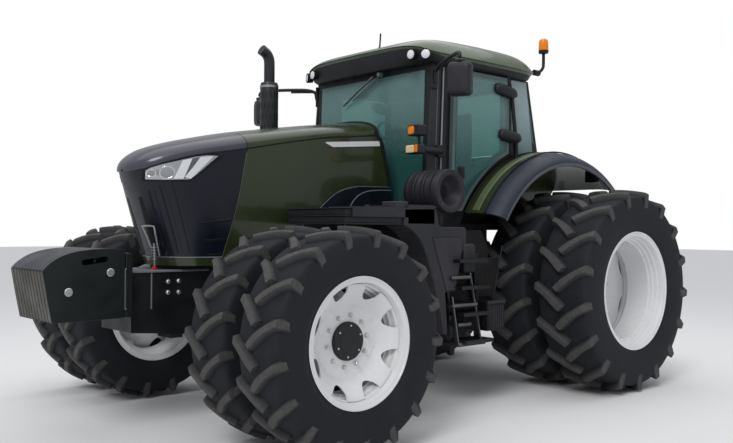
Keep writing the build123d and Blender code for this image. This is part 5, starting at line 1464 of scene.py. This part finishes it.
def mirror_head():
    """Mirror shell: rounded rectangles, full size at the rear rim and drawn in step by step to the dome."""
    t = np.linspace(0, pi / 2, 22)
    corner = np.stack([np.cos(t), np.sin(t)], 1) * 0.040
    turns = [np.array([[cos(k), sin(k)], [-sin(k), cos(k)]]) for k in (0, pi / 2, pi, 3 * pi / 2)]
    spots = ((0.060, 0.100), (-0.060, 0.100), (-0.060, -0.100), (0.060, -0.100))
    u, v = np.concatenate([corner @ m + s for m, s in zip(turns, spots)]).T
    depths = (0.048, 0.050, 0.046, 0.0, -0.028, -0.042, -0.049, -0.050)
    scales = (0.94, 0.97, 1.0, 1.0, 0.97, 0.88, 0.70, 0.02)
    rows = [np.stack([mx + u * s, np.full(len(u), my + d), mz + v * s], -1) for d, s in zip(depths, scales)]
    return toed_in(capped(rows))


piece("mirror_shells", both(mirror_head()), plastic_pale, "chassis", 40, stands_for=("mirrors",))
mirror_face = rounded_box(
    (mx - 0.088, my + 0.047, mz - 0.128), (mx + 0.088, my + 0.0505, mz + 0.128), 0.034, 1, 8,
)
piece("mirror_faces", both(toed_in(mirror_face)), mirror_chrome, "chassis")
arm_path = [
    (wall + 0.004, 0.225, 2.86), (wall + 0.035, 0.215, 2.90), (wall + 0.050, 0.215, 3.005),
    (1.15, 0.04, 3.020), (1.39, -0.075, 3.022), (mx, my, 3.005), (mx, my, 2.925),
]
low_arm = [(wall + 0.004, 0.235, 2.965), (wall + 0.06, 0.225, 2.985), (1.10, 0.065, 2.990)]
head_clamp = block((mx - 0.03, my - 0.03, 2.925), (mx + 0.03, my + 0.03, 2.955), 0.006)
wall_clamp = block((wall - 0.002, 0.190, 2.82), (wall + 0.024, 0.255, 3.03), 0.006)
mirror_arms = joined(pipe(arm_path, 0.017, 3), pipe(low_arm, 0.010, 3), head_clamp, wall_clamp)
piece("mirror_arms", both(mirror_arms), black_paint, "chassis")

# marker lamps on their arms
arm_bar = pipe([(wall + 0.03, 0.30, 2.255), (0.90, 0.16, 2.248), (0.97, -0.06, 2.238)], 0.032, 2, 20)
foot_plate = block((wall - 0.002, 0.245, 2.20), (wall + 0.05, 0.345, 2.31), 0.008)
lower_box = rounded_box((0.892, -0.195, 2.194), (1.048, -0.10, 2.276), 0.020, 1, 5)
upper_box = rounded_box((0.900, -0.180, 2.353), (1.040, -0.072, 2.447), 0.018, 1, 5)
stem = pipe([(0.97, -0.10, 2.25), (0.97, -0.105, 2.37)], 0.013, 0)
marker_arm = joined(arm_bar, foot_plate, stem)
piece("marker_arms", both(marker_arm), plastic, "chassis", stands_for=("marker_lamps",))
piece("marker_boxes", both(joined(lower_box, upper_box)), plastic, "chassis")
clear_lens = rounded_box((0.902, -0.203, 2.203), (1.0, -0.193, 2.268), 0.012, 1, 4)
low_amber_lens = rounded_box((1.003, -0.203, 2.203), (1.04, -0.193, 2.268), 0.010, 1, 4)
amber_lens = rounded_box((0.915, -0.188, 2.364), (0.985, -0.178, 2.436), 0.022, 1, 6)
piece("marker_clear", both(clear_lens), lens_cream, "chassis")
piece("marker_amber_low", both(low_amber_lens), lens_amber, "chassis")
piece("marker_amber", both(amber_lens), lens_amber, "chassis")

# ---------------------------------------------------------------- air canister, exhaust
c_low, c_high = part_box("air_canister")
cy, cz = (c_low[1] + c_high[1]) / 2, c_high[2] - (c_high[1] - c_low[1]) / 2
x0, x1 = c_low[0] - 0.030, c_high[0]
# side line of the canister, as (x, radius): its inner end, three pairs of grooves, and the domed outer end
profile = [(x0, 0), (x0, 0.120), (x0 + 0.012, 0.150), (x0 + 0.035, 0.170), (x0 + 0.055, 0.176)]
for x, tall in ((x0 + 0.075, 0.186), (x0 + 0.150, 0.190), (x0 + 0.255, 0.190)):
    profile += [
        (x - 0.008, tall - 0.002), (x - 0.006, tall - 0.016), (x + 0.004, tall - 0.016), (x + 0.006, tall),
    ]
    profile += [(x + 0.036, tall), (x + 0.038, tall - 0.010), (x + 0.046, tall - 0.010), (x + 0.048, tall)]
profile += [
    (x1 - 0.085, 0.190), (x1 - 0.080, 0.176), (x1 - 0.072, 0.176), (x1 - 0.068, 0.190), (x1 - 0.018, 0.190),
    (x1 - 0.004, 0.182), (x1 - 0.001, 0.170), (x1 - 0.001, 0.142), (x1 - 0.006, 0.134), (x1 - 0.030, 0.122),
    (x1 - 0.075, 0.098), (x1 - 0.105, 0.070), (x1 - 0.112, 0.045), (x1 - 0.113, 0),
]
canister = turned(profile, (0, cy, cz), 0, 96, False)
saddle = block((c_low[0] + 0.05, cy - 0.14, 1.5903), (c_low[0] + 0.33, cy - 0.06, cz - 0.12), 0.006)
piece("canister_shell", canister, plastic_pale, "chassis", 34, stands_for=("air_canister",))
piece("canister_saddle", saddle, plastic, "chassis")
inlet_line = [
    (x1 - 0.114, 0), (x1 - 0.114, 0.060), (x1 - 0.108, 0.064), (x1 - 0.106, 0.056), (x1 - 0.109, 0.050),
    (x1 - 0.109, 0),
]
piece("canister_inlet", turned(inlet_line, (0, cy, cz), 0, 48, False), black_and_groove_shade, "chassis")

# exhaust: a grooved heat shield round the stack, its bent tip, and slots and clamps on the shield
ex, ey = -0.62, -0.56
shield_r, groove_r, bore_r = 0.088, 0.0855, 0.060
shield_line = [(1.66, bore_r), (1.66, 0.086), (1.70, shield_r)]
for z in (2.05, 2.50):
    shield_line += [(z, shield_r), (z + 0.01, groove_r), (z + 0.03, groove_r), (z + 0.04, shield_r)]
shield_line += [(2.93, shield_r), (2.955, 0.080), (2.96, bore_r)]
bracket = block((-0.66, -0.59, 1.70), (-0.445, -0.53, 1.74), 0.004)
shield = joined(turned(shield_line, (ex, ey, 0), 2, 64, True), bracket)
piece("exhaust_shield", shield, exhaust_grey, "chassis", 34, stands_for=("exhaust_stack",))
tip_path = [(ex, ey, 2.90), (ex, ey, 3.10), (ex, ey, 3.18), (ex, ey - 0.03, 3.235), (ex, ey - 0.095, 3.268)]
piece("exhaust_pipe", pipe(tip_path, 0.052, 3, 32), exhaust_grey, "chassis", 40)

# slots of the heat shield: staggered rows of eight-sided plates that stand out of it by under a millimetre
slot_rows, slot_cols = 11, 14
rows, cols = np.meshgrid(np.arange(slot_rows), np.arange(slot_cols), indexing="ij")
slot_t = cols.ravel() * tau / slot_cols + (rows.ravel() % 2) * pi / slot_cols
slot_z = 1.78 + rows.ravel() * 0.105
eight = [(0, -1), (0.6, -0.8), (0.8, 0), (0.6, 0.8), (0, 1), (-0.6, 0.8), (-0.8, 0), (-0.6, -0.8)]
slot_one = np.array(eight) * (0.008, 0.030)
wrap = slot_t[:, None] + slot_one[:, 0] / shield_r
sheets = [
    np.stack([ex + r * np.cos(wrap), ey + r * np.sin(wrap), slot_z[:, None] + slot_one[:, 1]], -1)
    for r in (0.0888, 0.0865)
]
slot_points = np.stack(sheets, 1).reshape(-1, 3)
slot_faces = []
for a in range(0, len(slot_points), 16):
    slot_faces += [list(range(a, a + 8)), list(range(a + 15, a + 7, -1))]
    slot_faces += [[a + k, a + (k + 1) % 8, a + 8 + (k + 1) % 8, a + 8 + k] for k in range(8)]
piece("exhaust_slots", (slot_points, slot_faces), seal, "chassis")
band_low, band_high = 0.0875, 0.0905  # inner and outer radius of the two clamps
bands = []
for z in (1.735, 2.905):
    band_line = [(z, band_low), (z, band_high), (z + 0.022, band_high), (z + 0.022, band_low)]
    bands.append(turned(band_line, (ex, ey, 0), 2, 64, True))
piece("exhaust_bands", joined(*bands), steel, "chassis")


# ---------------------------------------------------------------- covers, steps and boxes at the side
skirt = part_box("platform_left")[1][0]


def left_plate(outline, inner, outer, edge=0.004):
    """A flat (y, z) outline carried along X from inner to outer."""
    return slab(outline, inner, outer, 0, edge)


deck = joined(
    block((0.50, -1.160, 1.650), (skirt - 0.012, -0.545, 1.700), 0.006),
    block((0.50, -1.160, 1.590), (skirt - 0.020, -0.545, 1.642), 0.006),
    block((0.50, -1.165, 1.700), (skirt - 0.006, -0.540, 1.709), 0.003),
    block((0.50, -1.165, 1.640), (skirt - 0.012, -0.540, 1.652), 0.003),
    block((0.50, -1.165, 1.580), (skirt - 0.012, -0.540, 1.592), 0.003),
)
piece("platform_rail", deck, cover_dark, "chassis", 30)
# step cover as (y, z): its curved front edge, then foot, rear edge and top
cover_curve = corner_cut([
    (-0.544, 1.575), (-0.435, 1.529), (-0.345, 1.443), (-0.276, 1.316), (-0.206, 1.140), (-0.146, 0.946),
    (-0.086, 0.734), (-0.062, 0.655),
], 1)
cover_rest = [
    (-0.026, 0.652), (-0.027, 0.762), (-0.050, 1.010), (0.078, 1.014), (0.098, 1.180), (0.150, 1.330),
    (0.190, 1.380), (0.213, 1.423), (0.220, 1.535), (0.205, 1.556), (0.172, 1.566), (-0.100, 1.566),
    (-0.130, 1.585), (-0.168, 1.712), (-0.190, 1.722), (-0.544, 1.712),
]
cover_line = np.concatenate([cover_curve, cover_rest])
step_cover = left_plate(cover_line, skirt - 0.24, skirt, 0.008)
piece("step_cover", step_cover, cover_grey, "chassis", 30)
inset = [(-0.215, 1.478), (0.149, 1.478), (0.150, 1.345), (0.068, 1.022), (-0.045, 1.026)]
rim_line = pipe([(skirt + 0.001, y, z) for y, z in (*inset, inset[0])], 0.003, 0, 6)
inset_plate = left_plate(inset, skirt - 0.001, skirt + 0.004, 0.003)
piece("cover_inset", inset_plate, cover_light, "chassis", 30)
piece("cover_inset_line", rim_line, black_and_groove_shade, "chassis", 30)
side_box = rounded_box((skirt - 0.16, 0.175, 1.170), (skirt + 0.015, 0.322, 1.420), 0.030, 0, 6)
cap_plate = block((skirt - 0.16, 0.150, 1.255), (skirt + 0.005, 0.215, 1.275), 0.004)
piece("step_box", joined(side_box, cap_plate), cover_grey, "chassis", 30)
tops = joined(
    rounded_box((skirt - 0.20, -0.614, 1.709), (skirt - 0.02, -0.475, 1.770), 0.015, 2, 4),
    block((skirt - 0.18, -0.250, 1.722), (skirt - 0.02, -0.135, 1.738), 0.005),
    block((skirt - 0.16, -1.010, 1.709), (skirt - 0.03, -0.840, 1.720), 0.004),
    pipe([(skirt - 0.06, -0.90, 1.715), (skirt - 0.06, -0.90, 1.735)], 0.02, 0),
)
piece("deck_blocks", tops, cover_light, "chassis", 30)
leg = pipe([(skirt - 0.10, -0.02, 1.56), (skirt - 0.10, -0.02, 1.70)], 0.030, 0)
piece("canister_leg", leg, plastic, "chassis")

# ladder: two leaning strings and four treads with pale nosings
ladder_x = (1.235, 1.262)
strings = joined(
    left_plate([(-0.002, 0.975), (0.022, 0.975), (0.103, 0.560), (0.078, 0.560)], *ladder_x, 0.003),
    left_plate([(0.222, 1.175), (0.250, 1.175), (0.400, 0.575), (0.372, 0.575)], *ladder_x, 0.003),
)
piece("ladder_strings", strings, black_paint, "chassis")
# pale lines on the strings' outer edges: painted highlights
rail_lines = joined(
    pipe([(1.264, 0.238, 1.170), (1.264, 0.388, 0.580)], 0.004, 0, 8),
    pipe([(1.264, 0.012, 0.970), (1.264, 0.092, 0.565)], 0.004, 0, 8),
)
piece("ladder_edges", rail_lines, edge_highlight_grey, "chassis")
# each tread's front and rear edge along Y, and its height
treads = [(0.000, 0.245, 1.135), (0.010, 0.325, 0.895), (0.085, 0.250, 0.728), (0.090, 0.445, 0.560)]
boards = [block((1.06, y0, z - 0.022), (1.268, y1, z + 0.008), 0.004) for y0, y1, z in treads]
nosings = [
    block((1.262, y0 - 0.002, z - 0.012), (1.272, y1 + 0.002, z + 0.012), 0.003) for y0, y1, z in treads
]
cleats = [
    block((1.08 + 0.03 * k, y0 + 0.012, z + 0.006), (1.092 + 0.03 * k, y1 - 0.012, z + 0.014), 0.002)
    for y0, y1, z in treads for k in range(6)
]
piece("ladder_treads", joined(*boards, *cleats), plastic, "chassis", 30)
piece("ladder_nosings", joined(*nosings), tread_grey, "chassis", 30)

# dark panel with its pale frame behind the ladder, and the tool bin below it
panel_line = [(0.490, 1.280), (0.800, 1.280), (0.716, 0.948), (0.415, 0.958)]
piece("battery_door", left_plate(panel_line, 1.02, 1.130, 0.006), seal, "chassis", 30)
frame_rods = joined(
    pipe([(1.134, 0.470, 1.286), (1.134, 0.812, 1.286)], 0.0035, 0, 8),
    pipe([(1.134, 0.835, 1.400), (1.134, 0.715, 0.945)], 0.0045, 0, 8),
    pipe([(1.134, 0.405, 0.955), (1.134, 0.720, 0.945)], 0.0045, 0, 8),
)
piece("battery_frame", frame_rods, trim_grey, "chassis")
slant = left_plate(
    [(0.366, 1.321), (0.490, 1.328), (0.478, 1.270), (0.425, 0.975), (0.400, 0.985)], 1.10, 1.140, 0.004,
)
piece("slant_plate", slant, cover_dark, "chassis")
bin_low, bin_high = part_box("tool_bin")
bin_y0, bin_z0 = bin_low[1:]
bin_x1, bin_y1, bin_z1 = bin_high
ribs = []
for k in range(7):
    y0, y1 = [bin_y0 + start + k * (bin_y1 - bin_y0 - 0.06) / 6 for start in (0.025, 0.038)]
    ribs.append(block((bin_x1 - 0.001, y0, bin_z0 + 0.02), (bin_x1 + 0.007, y1, bin_z1 - 0.03), 0.003))
lid_low = (bin_x1 - 0.02, bin_y0 - 0.006, bin_z1 - 0.022)
lid_high = (bin_x1 + 0.010, bin_y1 + 0.006, bin_z1 + 0.006)
piece("bin_ribs", joined(*ribs, block(lid_low, lid_high, 0.004)), cover_light, "chassis")


# ---------------------------------------------------------------- floor, light and camera
def studio():
    """A pale floor, a soft panel overhead, a mild sun from the front left, and a pale surround."""
    pale = finish("floor_pale", (0.82, 0.82, 0.82), 0.9, bright=0.1)[0]
    size = 60
    mesh = bpy.data.meshes.new("floor")
    mesh.from_pydata(
        [(-size, -size, 0), (size, -size, 0), (size, size, 0), (-size, size, 0)], [], [(0, 1, 2, 3)],
    )
    mesh.materials.append(pale)
    floor = bpy.data.objects.new("floor", mesh)
    bpy.context.scene.collection.objects.link(floor)
    panel = bpy.data.lights.new("overhead", "AREA")
    panel.shape, panel.size, panel.size_y, panel.energy = "RECTANGLE", 9, 12, 330
    hung = bpy.data.objects.new("overhead", panel)
    hung.location = (0, 0, 7.5)
    bpy.context.scene.collection.objects.link(hung)
    sun = bpy.data.lights.new("front_left", "SUN")
    sun.energy, sun.angle = 1.1, radians(22)
    aimed = bpy.data.objects.new("front_left", sun)
    aimed.rotation_euler = (radians(48), 0, radians(28))
    bpy.context.scene.collection.objects.link(aimed)
    world = bpy.data.worlds.new("surround")
    bpy.context.scene.world = world
    world.use_nodes = True
    tree = world.node_tree
    plain = tree.nodes["Background"]
    plain.inputs["Color"].default_value = (0.93, 0.95, 1.0, 1)
    plain.inputs["Strength"].default_value = 0.5
    white = tree.nodes.new("ShaderNodeBackground")
    white.inputs["Color"].default_value = (1, 1, 1, 1)
    white.inputs["Strength"].default_value = 1.0
    path = tree.nodes.new("ShaderNodeLightPath")
    mix = tree.nodes.new("ShaderNodeMixShader")
    tree.links.new(path.outputs["Is Camera Ray"], mix.inputs["Fac"])
    tree.links.new(plain.outputs[0], mix.inputs[1])
    tree.links.new(white.outputs[0], mix.inputs[2])
    tree.links.new(mix.outputs[0], tree.nodes["World Output"].inputs["Surface"])


def camera():
    """Eye-height view from ahead and to the left."""
    yaw, pitch, roll = radians(47.897), radians(0.48), radians(0.324)
    lens = bpy.data.cameras.new("eye")
    lens.sensor_width, lens.lens = 36.0, 41.23
    lens.clip_end = 200
    eye = bpy.data.objects.new("eye", lens)
    ahead = np.array([-sin(yaw) * cos(pitch), cos(yaw) * cos(pitch), sin(pitch)])
    right = np.array([cos(yaw), sin(yaw), 0])
    up = np.cross(right, ahead)
    right, up = right * cos(roll) + up * sin(roll), up * cos(roll) - right * sin(roll)
    turn = Matrix([[right[k], up[k], -ahead[k]] for k in range(3)]).to_4x4()
    eye.matrix_world = Matrix.Translation((6.0618, -5.3148, 1.5485)) @ turn
    bpy.context.scene.collection.objects.link(eye)
    bpy.context.scene.camera = eye


studio()
camera()
bpy.context.scene.view_settings.view_transform = "Standard"
